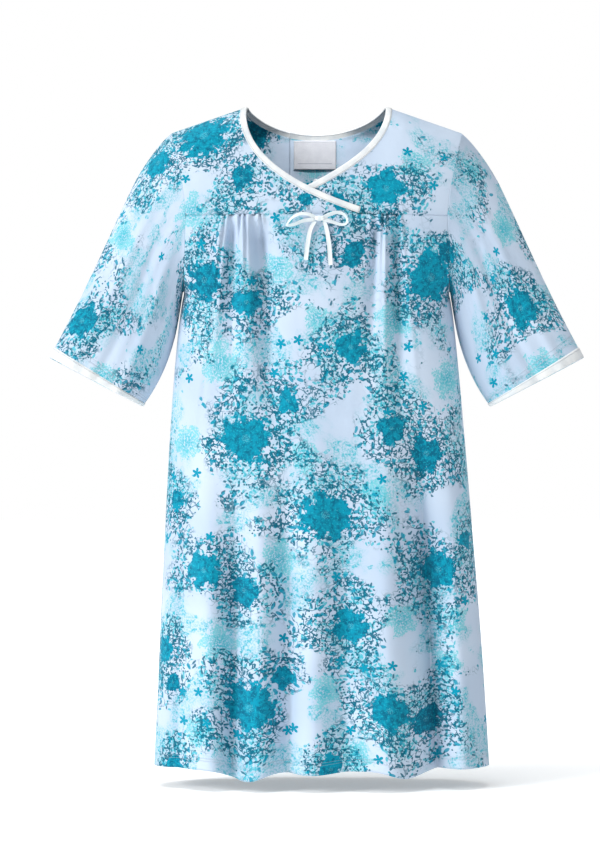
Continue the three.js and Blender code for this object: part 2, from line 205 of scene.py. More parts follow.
# %% A grid bent by a function
ARC_ANGLES = np.linspace(0, math.pi / 2, 400)
ARC_X = np.sin(ARC_ANGLES)
ARC_Y = section(ARC_ANGLES) * 0.42
ARC = np.concatenate([[0], np.cumsum(np.hypot(np.diff(ARC_X), np.diff(ARC_Y)))])


def flat_cloth(across, fall, z):
    """UVs in metres: distance round from the centre line, and up from the shoulder line."""
    round_body = np.sign(across) * np.interp(np.abs(across), ARC_ANGLES, ARC)
    return np.stack(np.broadcast_arrays(half_width(z) * round_body, -fall), axis=-1)


def bent_grid(name, across, down, place):
    """A grid of across by down cells. place(u, v) gives points, UVs and edge distances."""
    bm = bmesh.new()
    bmesh.ops.create_grid(bm, x_segments=across, y_segments=down, size=0.5)
    flat = np.array([vert.co[:2] for vert in bm.verts])
    u = np.round((flat[:, 0] + 0.5) * across) / across
    v = np.round((0.5 - flat[:, 1]) * down) / down
    points, uvs, edge = place(u, v)
    cloth = bm.loops.layers.uv.new("cloth")
    edging = bm.verts.layers.float.new("edge")
    for vert, point, distance in zip(bm.verts, points, np.broadcast_to(edge, u.shape)):
        vert.co = point
        vert[edging] = distance
    for face in bm.faces:
        for loop in face.loops:
            loop[cloth].uv = uvs[loop.vert.index]
    return bm


def link_piece(name, bm, material, body):
    """Makes the object from a finished bmesh, in its material, riding on its body."""
    mesh = bpy.data.meshes.new(name)
    bm.to_mesh(mesh)
    bm.free()
    mesh.materials.append(material)
    mesh.polygons.foreach_set("use_smooth", [True] * len(mesh.polygons))
    piece = bpy.data.objects.new(name, mesh)
    bpy.context.collection.objects.link(piece)
    if body:
        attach(piece, body)
    return piece


def look_away(bm, middle):
    """Turns an open sheet's faces so that they look away from a point inside the gown."""
    bm.faces.ensure_lookup_table()
    bm.normal_update()
    tally = sum(
        face.normal.dot(face.calc_center_median() - Vector(middle)) for face in bm.faces
    )
    if tally < 0:
        bmesh.ops.reverse_faces(bm, faces=bm.faces)


def thicken(piece, thickness=CLOTH):
    wall = piece.modifiers.new("thickness", "SOLIDIFY")
    wall.thickness = thickness
    wall.offset = -1


def flat_area(piece):
    """Area and size of the flat cloth, from the mesh and the UV map."""
    mesh = piece.data
    shown = sum(polygon.area for polygon in mesh.polygons)
    uvs = np.zeros(len(mesh.loops) * 2)
    mesh.uv_layers["cloth"].data.foreach_get("uv", uvs)
    uvs = uvs.reshape(-1, 4, 2)
    a = uvs[:, 2] - uvs[:, 0]
    b = uvs[:, 3] - uvs[:, 1]
    area = min(float(np.abs(a[:, 0] * b[:, 1] - a[:, 1] * b[:, 0]).sum() / 2), shown)
    size = uvs.reshape(-1, 2).max(axis=0) - uvs.reshape(-1, 2).min(axis=0)
    return area, (round(float(size[0]), 3), round(float(size[1]), 3))


print("arc round half the body:", round(float(half_width(HEM_Z) * ARC[-1]), 3))

# %% [markdown]
# ## Drapes
# Gathered cloth leaves its seam in tight flutes that open out and merge further down, and the
# long skirt hangs in a few broad drapes. Each drape is one line down the cloth with a height
# and a width, which is how a dressmaker sees it, and it is easy to place by hand. Heights are
# towards the viewer; a negative height is a hollow.

# %% The front's drapes
# top x, top z, bottom x, bottom z, half width, height
DRAPES = [
    (-0.129, -0.172, -0.129, -0.520, 0.011, -0.0090),
    (-0.087, -0.172, -0.058, -0.560, 0.014, -0.0150),
    (-0.146, -0.172, -0.152, -0.400, 0.009, 0.0040),
    (-0.112, -0.172, -0.104, -0.520, 0.011, 0.0090),
    (0.090, -0.172, 0.080, -0.480, 0.011, -0.0090),
    (0.117, -0.172, 0.132, -0.560, 0.013, -0.0140),
    (0.104, -0.172, 0.106, -0.520, 0.010, 0.0080),
    (-0.044, -0.480, -0.044, -1.060, 0.022, -0.0170),
    (-0.122, -0.540, -0.128, -1.060, 0.020, -0.0160),
    (0.150, -0.420, 0.188, -1.060, 0.024, -0.0260),
    (0.040, -0.560, 0.046, -1.060, 0.026, -0.0100),
    (-0.200, -0.360, -0.214, -1.060, 0.020, -0.0100),
    (0.105, -0.300, 0.116, -1.060, 0.032, 0.0140),
    (-0.172, -0.420, -0.160, -1.060, 0.026, 0.0130),
    (-0.086, -0.460, -0.085, -1.060, 0.020, 0.0110),
    (-0.005, -0.380, -0.005, -1.060, 0.028, 0.0110),
    (0.205, -0.420, 0.230, -1.060, 0.022, 0.0110),
]
GATHERS = [(-0.1135, 0.035), (0.105, 0.027)]
PLEAT = 0.0105
CREASE_ROUND = 0.0025
RIDGE_FULLNESS = 1.2
VALLEY_FULLNESS = 1.9
FLUTE_HEIGHT, FLUTE_FADE = 0.0036, 0.125
PUFF_HEIGHT, PUFF_FADE = 0.0035, 0.15
FAN_OUT = 0.22


def drape_height(x, z):
    """How far the front stands out at x, z of the smooth body."""
    out = np.zeros_like(x)
    for top_x, top_z, low_x, low_z, width, height in DRAPES:
        t = (z - top_z) / (low_z - top_z)
        centre = lerp(top_x, low_x, np.clip(t, 0, 1))
        from_seam = top_z > -0.2
        starts = smooth(t, -0.01, 0.10) if from_seam else smooth(t, 0.0, 0.55)
        ends = 1 - smooth(t, 0.35, 1.0) if from_seam else 1.0
        spread = width * (1 + 0.9 * np.clip(t, 0, 1) * from_seam)
        spread = spread * (np.where(x < centre, 1.45, 0.75) if height < 0 else 1.0)
        full = VALLEY_FULLNESS if height < 0 else RIDGE_FULLNESS
        shape = crease if height < 0 else bump
        out += full * height * starts * ends * shape(x, centre, spread)
    below = np.maximum(YOKE_Z - z, 0)
    for centre, half in GATHERS:
        reach = 1 + below / FAN_OUT
        inside = 1 - smooth(np.abs(x - centre), half * reach * 0.75, half * reach * 1.1)
        turn = (x - centre) / (PLEAT * reach)
        flute = np.cos(2 * math.pi * (turn + 0.22 * np.sin(2.3 * turn)))
        out += FLUTE_HEIGHT * flute * inside * np.exp(-below / FLUTE_FADE)
        out += PUFF_HEIGHT * inside * smooth(below, 0, 0.012) * np.exp(-below / PUFF_FADE)
    return out


print("drapes:", len(DRAPES), "gathers:", len(GATHERS))

# %% [markdown]
# ## Nodes in few words
# A cloth print needs many small sums. These helpers add one node each and return its output,
# so that the print can be written down like arithmetic.

# %% Node helpers
def new_material(name, roughness, colour=(0.8, 0.8, 0.8)):
    material = bpy.data.materials.new(name)
    material.use_nodes = True
    material.diffuse_color = (*colour, 1)
    shader = material.node_tree.nodes["Principled BSDF"]
    shader.inputs["Roughness"].default_value = roughness
    shader.inputs["Base Color"].default_value = (*colour, 1)
    return material, material.node_tree, shader


def plug(tree, socket, value):
    if isinstance(value, bpy.types.NodeSocket):
        tree.links.new(value, socket)
    else:
        socket.default_value = value


def sums(tree, operation, *values):
    node = tree.nodes.new("ShaderNodeMath")
    node.operation = operation
    for socket, value in zip(node.inputs, values):
        plug(tree, socket, value)
    return node.outputs[0]


def times(tree, first, second):
    return sums(tree, "MULTIPLY", first, second)


def vectors(tree, operation, *values):
    node = tree.nodes.new("ShaderNodeVectorMath")
    node.operation = operation
    for socket, value in zip(node.inputs, values):
        plug(tree, socket, value)
    return node.outputs["Value" if operation in ("LENGTH", "DOT_PRODUCT") else "Vector"]


def between(tree, value, low, high):
    """0 at low, 1 at high, and smooth in between."""
    node = tree.nodes.new("ShaderNodeMapRange")
    node.interpolation_type = "SMOOTHSTEP"
    for socket, number in zip(node.inputs, (value, low, high)):
        plug(tree, socket, number)
    return node.outputs[0]


def coloured(tree, share, first, second):
    node = tree.nodes.new("ShaderNodeMix")
    node.data_type = "RGBA"
    plug(tree, node.inputs["Factor"], share)
    for socket, colour in ((node.inputs[6], first), (node.inputs[7], second)):
        plug(tree, socket, colour if not isinstance(colour, tuple) else (*colour, 1))
    return node.outputs[2]


def noise(tree, where, scale, detail=2.0, roughness=0.5, output="Fac"):
    node = tree.nodes.new("ShaderNodeTexNoise")
    node.noise_dimensions = "2D"
    node.inputs["Scale"].default_value = scale
    node.inputs["Detail"].default_value = detail
    node.inputs["Roughness"].default_value = roughness
    plug(tree, node.inputs["Vector"], where)
    return node.outputs[output]


def read_attribute(tree, name, output="Vector"):
    node = tree.nodes.new("ShaderNodeAttribute")
    node.attribute_name = name
    return node.outputs[output]


def parts_of(tree, vector):
    node = tree.nodes.new("ShaderNodeSeparateXYZ")
    tree.links.new(vector, node.inputs[0])
    return node.outputs


def flat_place(tree):
    node = tree.nodes.new("ShaderNodeUVMap")
    node.uv_map = "cloth"
    return node.outputs[0]


print("node helpers ready, first used by the print")

# %% [markdown]
# ## The print's flowers
# The cloth carries loose bunches of flowers. Their places matter to the look, so the big blooms
# are listed one by one, at the spot where they are seen on the front. Each face of a panel then
# remembers its nearest bloom as an attribute: middle, radius, turn and number of petals. The
# material works out the petals from these, so the edges stay crisp on a coarse mesh.

# %% Places of the blooms
# seen x, seen z, radius, petals, tone (1 is the deepest teal, 0 the palest aqua)
BLOOMS = [
    (-0.173, -0.049, 0.036, 9, 0.62),
    (-0.115, -0.114, 0.017, 3, 0.85),
    (0.106, -0.131, 0.026, 5, 0.55),
    (0.034, -0.150, 0.013, 5, 0.70),
    (-0.018, -0.148, 0.009, 3, 0.80),
    (-0.246, -0.088, 0.024, 7, 0.60),
    (-0.173, -0.270, 0.026, 6, 0.80),
    (-0.108, -0.305, 0.019, 5, 0.60),
    (0.055, -0.232, 0.016, 3, 0.80),
    (0.176, -0.266, 0.034, 8, 0.65),
    (0.201, -0.227, 0.015, 5, 0.95),
    (0.315, -0.312, 0.027, 7, 0.70),
    (-0.363, -0.331, 0.024, 6, 0.75),
    (0.052, -0.374, 0.021, 5, 0.65),
    (-0.044, -0.456, 0.016, 5, 0.60),
    (-0.108, -0.514, 0.034, 8, 0.65),
    (0.114, -0.498, 0.019, 5, 0.75),
    (0.168, -0.537, 0.024, 6, 0.85),
    (0.013, -0.630, 0.034, 7, 0.65),
    (-0.216, -0.607, 0.013, 5, 0.70),
    (-0.173, -0.715, 0.025, 6, 0.60),
    (-0.111, -0.746, 0.020, 5, 0.75),
    (0.187, -0.715, 0.026, 8, 0.70),
    (0.230, -0.669, 0.012, 5, 0.70),
    (0.052, -0.800, 0.025, 5, 0.65),
    (-0.235, -0.839, 0.018, 6, 0.65),
    (-0.222, -0.890, 0.013, 3, 0.85),
    (-0.052, -0.881, 0.016, 5, 0.65),
    (-0.103, -0.925, 0.036, 8, 0.70),
    (0.111, -0.929, 0.026, 5, 0.70),
    (0.168, -0.945, 0.021, 8, 0.95),
    (0.021, -1.018, 0.018, 5, 0.60),
    (-0.219, -1.018, 0.014, 5, 0.65),
]
SOFT_BLOOMS = [
    (-0.190, -0.165, 0.024, 5, 0.15),
    (0.150, -0.090, 0.022, 5, 0.20),
    (-0.060, -0.250, 0.020, 5, 0.10),
    (0.120, -0.330, 0.026, 5, 0.15),
    (-0.150, -0.400, 0.028, 5, 0.10),
    (0.000, -0.330, 0.018, 5, 0.15),
    (0.200, -0.420, 0.024, 5, 0.10),
    (-0.020, -0.540, 0.022, 5, 0.20),
    (-0.200, -0.520, 0.024, 5, 0.10),
    (0.090, -0.600, 0.020, 5, 0.15),
    (-0.060, -0.700, 0.026, 5, 0.10),
    (0.130, -0.790, 0.024, 5, 0.20),
    (-0.150, -0.830, 0.026, 5, 0.15),
    (0.200, -0.860, 0.024, 5, 0.05),
    (0.010, -0.900, 0.022, 5, 0.20),
    (-0.180, -0.960, 0.022, 5, 0.10),
    (0.060, -1.000, 0.022, 5, 0.10),
    (0.215, -0.790, 0.018, 5, 0.05),
    (-0.300, -0.200, 0.024, 5, 0.15),
    (0.290, -0.190, 0.024, 5, 0.15),
    (-0.330, -0.420, 0.022, 5, 0.10),
    (0.350, -0.400, 0.022, 5, 0.20),
    (0.240, -0.100, 0.018, 5, 0.10),
]


def scattered(seed, count, width, low, high, radii, tones):
    """Flowers for the places that no one lays out by hand: the back and the sleeves' backs."""
    dice = random.Random(seed)
    made = []
    while len(made) < count:
        x = dice.uniform(-width, width)
        z = dice.uniform(low, high)
        if all(math.hypot(x - a, z - b) > 0.055 for a, b, *_ in made):
            made.append((x, z, dice.uniform(*radii), dice.choice((5, 6, 8)), dice.uniform(*tones)))
    return made


BACK_BLOOMS = scattered(5, 60, 0.30, -1.0, -0.12, (0.014, 0.034), (0.5, 0.9))
BACK_SOFT = scattered(8, 60, 0.30, -1.0, -0.05, (0.018, 0.028), (0.05, 0.2))
BACK_BLOOMS = [bloom for bloom in BACK_BLOOMS if bloom[1] < -0.13 or abs(bloom[0]) > 0.12]
BACK_BLOOMS += [(-0.094, -0.030, 0.018, 8, 0.9)]
SLEEVE_BACKS = [
    (side * x, z, radius, petals, tone)
    for side in (-1, 1)
    for x, z, radius, petals, tone in (
        (0.250, -0.130, 0.026, 7, 0.70),
        (0.300, -0.215, 0.022, 5, 0.85),
        (0.262, -0.310, 0.028, 8, 0.65),
        (0.335, -0.330, 0.024, 6, 0.75),
        (0.385, -0.405, 0.018, 5, 0.60),
        (0.290, -0.400, 0.024, 5, 0.15),
        (0.325, -0.250, 0.022, 5, 0.10),
    )
]


def face_middles(bm, uvs):
    corners = np.array([[vert.index for vert in face.verts] for face in bm.faces])
    return uvs[corners].mean(axis=1)


def scatter_print(bm, uvs, layer_name, *views):
    """Gives each face its nearest flower. Each view is (flowers, -1 for the front or 1)."""
    points = np.array([vert.co[:] for vert in bm.verts])
    middles, facts = [np.array([9.0, 9.0])], [(0.01, 5, 0.5)]
    for flowers, seen_from in views:
        hidden = np.where(points[:, 1] * seen_from >= -0.002, 0, 1)
        for x, z, radius, petals, tone in flowers:
            away = np.hypot(points[:, 0] - x, points[:, 2] - z) + hidden
            near = int(np.argmin(away))
            if away[near] < 1.6 * radius:
                middles.append(uvs[near] + np.array([x, z]) - points[near, [0, 2]])
                facts.append((radius * 1.12, petals, tone))
    place = bm.faces.layers.float_vector.new(layer_name + "_place")
    fact = bm.faces.layers.float_vector.new(layer_name + "_facts")
    middles = np.array(middles)
    facts = np.array(facts)
    away = np.linalg.norm(face_middles(bm, uvs)[:, None] - middles[None], axis=2) / facts[:, 0]
    nearest = np.argmin(away, axis=1)
    for face, flower in zip(bm.faces, nearest):
        face[place] = (*middles[flower], facts[flower, 0])
        face[fact] = (facts[flower, 1], facts[flower, 2], flower * 1.7)


def grow_leaves(bm, uvs, bare):
    """A vertex attribute: how thick the small leaves grow, most round the flowers.
    bare: how far they are thinned inside the back of the neck."""
    leafy = bm.verts.layers.float.new("leafy")
    place = bm.faces.layers.float_vector["bloom_place"]
    for vert in bm.verts:
        x, z, radius = vert.link_faces[0][place]
        away = math.hypot(uvs[vert.index][0] - x, uvs[vert.index][1] - z)
        thinned = bare * math.exp(-((vert.co.x / 0.090) ** 2) - ((vert.co.z + 0.055) / 0.060) ** 2)
        vert[leafy] = max(1 - max(away - radius, 0) / 0.065, 0) - thinned


print("blooms:", len(BLOOMS), "soft:", len(SOFT_BLOOMS))

# %% [markdown]
# ## The printed cloth
# The real cloth is a thin plain weave in a very pale blue. From the ground up it carries a
# stippled aqua haze, soft aqua flowers, small leaves in two sizes, curling outlines, teal
# stars, and the ragged teal blooms on top. Each is a mask laid over the colours below it. The
# bump adds the weave, a little crumple, and the two rows of stitches along the hems.

# %% Colours of the print
GROUND = (0.470, 0.570, 0.705)
GROUND_LIGHT = (0.545, 0.640, 0.765)
HAZE = (0.190, 0.490, 0.580)
AQUA = (0.040, 0.420, 0.520)
AQUA_LIGHT = (0.160, 0.540, 0.610)
TEAL = (0.001, 0.270, 0.400)
TEAL_LIGHT = (0.012, 0.440, 0.560)
TEAL_DEEP = (0.001, 0.125, 0.215)
INK = (0.002, 0.120, 0.190)
print("ground:", GROUND, "deepest:", TEAL_DEEP)

# %% [markdown]
# ## Masks for flowers and leaves
# A mask is 1 where the ink lies. A flower's edge is a wavy circle whose waves are its petals; a
# leaf is an ellipse in each cell of a cell noise, turned by the cell's own random number. Drawn
# this way the print has no picture behind it and stays sharp from close by.

# %% Masks for flowers and leaves
def flower_mask(tree, where, layer, ragged, lobes):
    """Petal mask, distance from the middle as a share, petal wave, and tone."""
    place = parts_of(tree, read_attribute(tree, layer + "_place"))
    facts = parts_of(tree, read_attribute(tree, layer + "_facts"))
    spot = parts_of(tree, where)
    dx = sums(tree, "SUBTRACT", spot[0], place[0])
    dy = sums(tree, "SUBTRACT", spot[1], place[1])
    squares = sums(tree, "ADD", times(tree, dx, dx), times(tree, dy, dy))
    reach = sums(tree, "DIVIDE", sums(tree, "SQRT", squares), place[2])
    angle = sums(tree, "ADD", sums(tree, "ARCTAN2", dy, dx), facts[2])
    half_turns = times(tree, angle, times(tree, facts[0], 0.5))
    petal = sums(tree, "ABSOLUTE", sums(tree, "SINE", half_turns))
    rough = sums(tree, "MULTIPLY_ADD", noise(tree, where, 300, 3, 0.6), ragged, -0.5 * ragged)
    wide = sums(tree, "MULTIPLY_ADD", noise(tree, where, 60, 2), 1.3, -0.62)
    edge = sums(tree, "MULTIPLY_ADD", sums(tree, "POWER", petal, 0.6), lobes, 1 - lobes)
    edge = sums(tree, "ADD", sums(tree, "ADD", edge, rough), wide)
    inside = between(tree, sums(tree, "SUBTRACT", edge, reach), -0.03, 0.05)
    return inside, reach, petal, facts[1]


def leaf_mask(tree, where, scale, length, width, share):
    """Small leaves, one in each cell, each turned its own way. share: how many cells have one."""
    cells = tree.nodes.new("ShaderNodeTexVoronoi")
    cells.voronoi_dimensions = "2D"
    cells.inputs["Scale"].default_value = scale
    plug(tree, cells.inputs["Vector"], where)
    step = parts_of(tree, vectors(tree, "SUBTRACT", where, cells.outputs["Position"]))
    dice = parts_of(tree, cells.outputs["Color"])
    turn = times(tree, dice[0], 2 * math.pi)
    c = sums(tree, "COSINE", turn)
    s = sums(tree, "SINE", turn)
    along = sums(tree, "MULTIPLY_ADD", step[0], c, times(tree, step[1], s))
    beside = sums(tree, "SUBTRACT", times(tree, step[1], c), times(tree, step[0], s))
    a = sums(tree, "DIVIDE", along, length)
    b = sums(tree, "DIVIDE", beside, width)
    reach = sums(tree, "ADD", times(tree, a, a), times(tree, b, b))
    leaf = sums(tree, "SUBTRACT", 1, between(tree, reach, 0.6, 1.0))
    grows = between(tree, sums(tree, "SUBTRACT", share, dice[1]), 0.0, 0.02)
    return times(tree, leaf, grows)


def star_mask(tree, where, scale, radius, share):
    """Five-pointed florets, scattered."""
    cells = tree.nodes.new("ShaderNodeTexVoronoi")
    cells.voronoi_dimensions = "2D"
    cells.inputs["Scale"].default_value = scale
    plug(tree, cells.inputs["Vector"], where)
    offset = vectors(tree, "SUBTRACT", where, cells.outputs["Position"])
    step = parts_of(tree, offset)
    dice = parts_of(tree, cells.outputs["Color"])
    angle = sums(tree, "ADD", sums(tree, "ARCTAN2", step[1], step[0]), times(tree, dice[0], 6))
    points = sums(tree, "ABSOLUTE", sums(tree, "COSINE", times(tree, angle, 2.5)))
    edge = sums(tree, "MULTIPLY_ADD", points, radius * 0.7, radius * 0.3)
    inside = between(tree, sums(tree, "SUBTRACT", edge, vectors(tree, "LENGTH", offset)), 0, 0.0004)
    return times(tree, inside, between(tree, sums(tree, "SUBTRACT", share, dice[1]), 0, 0.02))


print("masks: flowers, leaves and stars")

# %% [markdown]
# ## The layers of the print
# Each layer is laid over the ones before it, from the haze up to the blooms, as the screens of a
# printer are. The leaves are kept to loose bunches, thickest round the blooms. Two wavering
# rings of petals, in outline only, are drawn round each bloom.

# %% The print
# each ring: distance from the bloom's middle and how far its petals reach, in radii of the bloom
DRAWN_PETALS = [(1.20, 0.40), (1.62, 0.60)]
PETAL_WAVER = 0.9


def print_colour(tree, where):
    drift = noise(tree, where, 5, 2)
    colour = coloured(tree, between(tree, drift, 0.35, 0.65), GROUND, GROUND_LIGHT)
    leafy = read_attribute(tree, "leafy", "Fac")
    bunch = noise(tree, where, 13, 2)
    near_flowers = times(tree, leafy, 0.50)
    thick = between(tree, sums(tree, "MULTIPLY_ADD", bunch, 1.3, near_flowers), 0.66, 0.94)

    haze_place = between(tree, noise(tree, where, 14, 3), 0.46, 0.60)
    stipple = between(tree, noise(tree, where, 300, 3, 0.7), 0.44, 0.58)
    haze = times(tree, haze_place, sums(tree, "MULTIPLY_ADD", stipple, 0.70, 0.10))
    colour = coloured(tree, haze, colour, HAZE)
    drifted = vectors(tree, "ADD", where, (1.3, 8.1, 0.0))
    pale = leaf_mask(tree, drifted, 85, 0.0075, 0.0032, times(tree, haze_place, 0.75))
    pale = times(tree, pale, sums(tree, "MULTIPLY_ADD", stipple, 0.6, 0.25))
    colour = coloured(tree, pale, colour, AQUA)

    soft, reach, petal, tone = flower_mask(tree, where, "soft", 0.9, 0.35)
    brushed = between(tree, noise(tree, where, 330, 3, 0.7), 0.36, 0.56)
    soft = times(tree, soft, sums(tree, "MULTIPLY_ADD", brushed, 0.85, 0.1))
    petal = coloured(tree, between(tree, reach, 0.1, 0.8), AQUA, AQUA_LIGHT)
    colour = coloured(tree, soft, colour, petal)

    small = leaf_mask(tree, where, 150, 0.0044, 0.0022, times(tree, thick, 0.42))
    colour = coloured(tree, times(tree, small, 0.85), colour, AQUA)
    shifted = vectors(tree, "ADD", where, (3.1, 1.7, 0.0))
    dark = leaf_mask(tree, shifted, 125, 0.0054, 0.0019, times(tree, thick, 0.30))
    colour = coloured(tree, times(tree, dark, 0.9), colour, INK)
    other = vectors(tree, "ADD", where, (7.3, 4.9, 0.0))
    bold = leaf_mask(tree, other, 80, 0.0064, 0.0030, times(tree, thick, 0.32))
    colour = coloured(tree, times(tree, bold, 0.9), colour, TEAL)

    curl = sums(tree, "ABSOLUTE", sums(tree, "SUBTRACT", noise(tree, other, 62, 2, 0.5), 0.5))
    line = sums(tree, "SUBTRACT", 1, between(tree, curl, 0.020, 0.044))
    drawn = between(tree, noise(tree, shifted, 17, 1), 0.38, 0.46)
    line = times(tree, times(tree, line, drawn), thick)
    colour = coloured(tree, times(tree, line, 0.95), colour, INK)

    cells = tree.nodes.new("ShaderNodeTexVoronoi")
    cells.voronoi_dimensions = "2D"
    cells.feature = "DISTANCE_TO_EDGE"
    cells.inputs["Scale"].default_value = 95
    bent = vectors(tree, "SCALE", noise(tree, where, 60, 1, output="Color"))
    plug(tree, bent.node.inputs["Scale"], 0.006)
    plug(tree, cells.inputs["Vector"], vectors(tree, "ADD", where, bent))
    outline = sums(tree, "SUBTRACT", 1, between(tree, cells.outputs["Distance"], 0.040, 0.082))
    sketched = between(tree, noise(tree, drifted, 15, 2), 0.46, 0.54)
    outline = times(tree, times(tree, outline, sketched), thick)
    broken = between(tree, noise(tree, where, 150, 1), 0.40, 0.50)
    colour = coloured(tree, times(tree, outline, times(tree, broken, 0.85)), colour, INK)

    apart = vectors(tree, "ADD", where, (11.9, 2.3, 0.0))
    berries = leaf_mask(tree, apart, 230, 0.0017, 0.0015, times(tree, thick, 0.22))
    colour = coloured(tree, times(tree, berries, 0.95), colour, INK)

    bloom, reach, petal, tone = flower_mask(tree, where, "bloom", 0.55, 0.20)
    waver = noise(tree, where, 75, 2)
    for middle, tall in DRAWN_PETALS:
        wavered = sums(tree, "MULTIPLY_ADD", waver, PETAL_WAVER, middle - PETAL_WAVER / 2)
        rim = sums(tree, "ADD", times(tree, petal, tall), wavered)
        away = sums(tree, "ABSOLUTE", sums(tree, "SUBTRACT", reach, rim))
        rim = sums(tree, "SUBTRACT", 1, between(tree, away, 0.020, 0.050))
        rim = times(tree, times(tree, rim, broken), thick)
        colour = coloured(tree, rim, colour, INK)
    mottle = noise(tree, where, 110, 3, 0.65)
    depth = between(tree, sums(tree, "MULTIPLY_ADD", mottle, 2.0, tone), 1.35, 2.05)
    tint = coloured(tree, depth, TEAL, TEAL_DEEP)
    vein = sums(tree, "SUBTRACT", 1, between(tree, petal, 0.03, 0.30))
    vein = times(tree, vein, between(tree, reach, 0.15, 0.5))
    fleck = between(tree, noise(tree, where, 330, 2, 0.6), 0.58, 0.68)
    light = sums(tree, "MAXIMUM", times(tree, vein, 0.18), times(tree, fleck, 0.65))
    tint = coloured(tree, light, tint, TEAL_LIGHT)
    eye = sums(tree, "SUBTRACT", 1, between(tree, reach, 0.10, 0.22))
    spark = between(tree, noise(tree, where, 700, 1), 0.50, 0.60)
    tint = coloured(tree, times(tree, times(tree, eye, spark), 0.5), tint, AQUA_LIGHT)
    colour = coloured(tree, bloom, colour, tint)

    star = star_mask(tree, shifted, 20, 0.0085, 0.28)
    return coloured(tree, star, colour, TEAL), bloom


STITCH = 0.0030
HEM_ROWS = (0.0150, 0.0190)


def stitch_rows(tree, where, rows):
    """Dashes at the given distances from a finished edge."""
    edge = read_attribute(tree, "edge", "Fac")
    dash = sums(tree, "FRACT", sums(tree, "DIVIDE", parts_of(tree, where)[0], STITCH))
    dash = between(tree, sums(tree, "PINGPONG", dash, 0.5), 0.05, 0.14)
    total = None
    for distance in rows:
        off = sums(tree, "ABSOLUTE", sums(tree, "SUBTRACT", edge, distance))
        row = sums(tree, "SUBTRACT", 1, between(tree, off, 0.0002, 0.0007))
        total = row if total is None else sums(tree, "MAXIMUM", total, row)
    return times(tree, total, dash)


def add_bump(tree, shader, layers):
    """layers: (height, depth in metres), laid on top of each other."""
    below = None
    for height, depth in layers:
        bump_node = tree.nodes.new("ShaderNodeBump")
        bump_node.inputs["Distance"].default_value = depth
        tree.links.new(height, bump_node.inputs["Height"])
        if below:
            tree.links.new(below, bump_node.inputs["Normal"])
        below = bump_node.outputs[0]
    tree.links.new(below, shader.inputs["Normal"])


COTTON_PITCH = 0.0011
SATIN_PITCH = 0.0007


def weave(tree, where, pitch):
    """Over and under of a plain weave."""
    threads = parts_of(tree, where)
    scale = 2 * math.pi / pitch
    warp = sums(tree, "SINE", times(tree, threads[0], scale))
    weft = sums(tree, "SINE", times(tree, threads[1], scale))
    return times(tree, warp, weft)


def printed_cloth():
    material, tree, shader = new_material("printed_cloth", 0.85, GROUND)
    where = flat_place(tree)
    colour, bloom = print_colour(tree, where)
    stitches = stitch_rows(tree, where, HEM_ROWS)
    colour = coloured(tree, times(tree, stitches, 0.35), colour, (0.45, 0.52, 0.62))
    tree.links.new(colour, shader.inputs["Base Color"])
    roughness = sums(tree, "MULTIPLY_ADD", noise(tree, where, 60, 3), 0.14, 0.76)
    tree.links.new(roughness, shader.inputs["Roughness"])
    shader.inputs["Sheen Weight"].default_value = 0.06
    shader.inputs["Sheen Roughness"].default_value = 0.45
    shader.inputs["Specular IOR Level"].default_value = 0.12
    crumple = noise(tree, where, 16, 3, 0.5)
    add_bump(
        tree,
        shader,
        [(crumple, 0.0025), (weave(tree, where, COTTON_PITCH), 0.00006), (stitches, 0.0005)],
    )
    return material


PRINTED = printed_cloth()
print("print nodes:", len(PRINTED.node_tree.nodes))

# %% [markdown]
# ## The front
# The skirt front is one wide panel. Its grid has closer columns where the gathers are, because
# tight flutes need more points than a smooth drape. Near the yoke seam both panels dip inwards
# by a millimetre, as stitched cloth does. The hem rises and falls with the drapes above it.

# %% Panels on the body
# the hem stands a little above its lowest point and three lobes hang down: x, half width, drop
HEM_LEVEL = 0.019
HEM_LOBES = [(-0.108, 0.034, 0.017), (-0.010, 0.050, 0.006), (0.138, 0.032, 0.012)]
BACK_RISE = 0.017


def hem_rise(points, v, face):
    """Lifts the cloth above its lowest line, more towards the hem."""
    x = points[:, 0]
    rise = HEM_LEVEL - sum(drop * bump(x, at, width) for at, width, drop in HEM_LOBES)
    rise = rise if face < 0 else lerp(BACK_RISE, rise, smooth(np.abs(x), 0.18, 0.25))
    points[:, 2] += rise * smooth(v, 0.55, 1.0)


SEAM_DIP, SEAM_WIDTH = 0.0014, 0.0028


def seam_dip(points, face):
    points[:, 1] -= face * SEAM_DIP * bump(points[:, 2], YOKE_Z, SEAM_WIDTH)


def crowded(u, places, strength, width):
    """Moves evenly spaced columns closer together near the given places, -1 to 1."""
    s = np.linspace(-1, 1, 2001)
    weight = 1 + sum(strength * bump(s, place, width) for place in places)
    total = np.concatenate([[0], np.cumsum((weight[1:] + weight[:-1]) / 2)])
    return np.interp(u * total[-1], total, s)


def skirt_place(u, v):
    z = lerp(YOKE_Z, HEM_Z, v)
    across = edge_angle(z) * crowded(u, (-0.50, 0.46), 3.0, 0.13)
    fall = ROLL - z - SHOULDER_ROLL
    points = body_point(across, fall, -1)
    uvs = flat_cloth(across, fall, points[:, 2])
    points[:, 1] -= drape_height(points[:, 0], z)
    seam_dip(points, -1)
    hem_rise(points, v, -1)
    return points, uvs, (1 - v) * (YOKE_Z - HEM_Z)


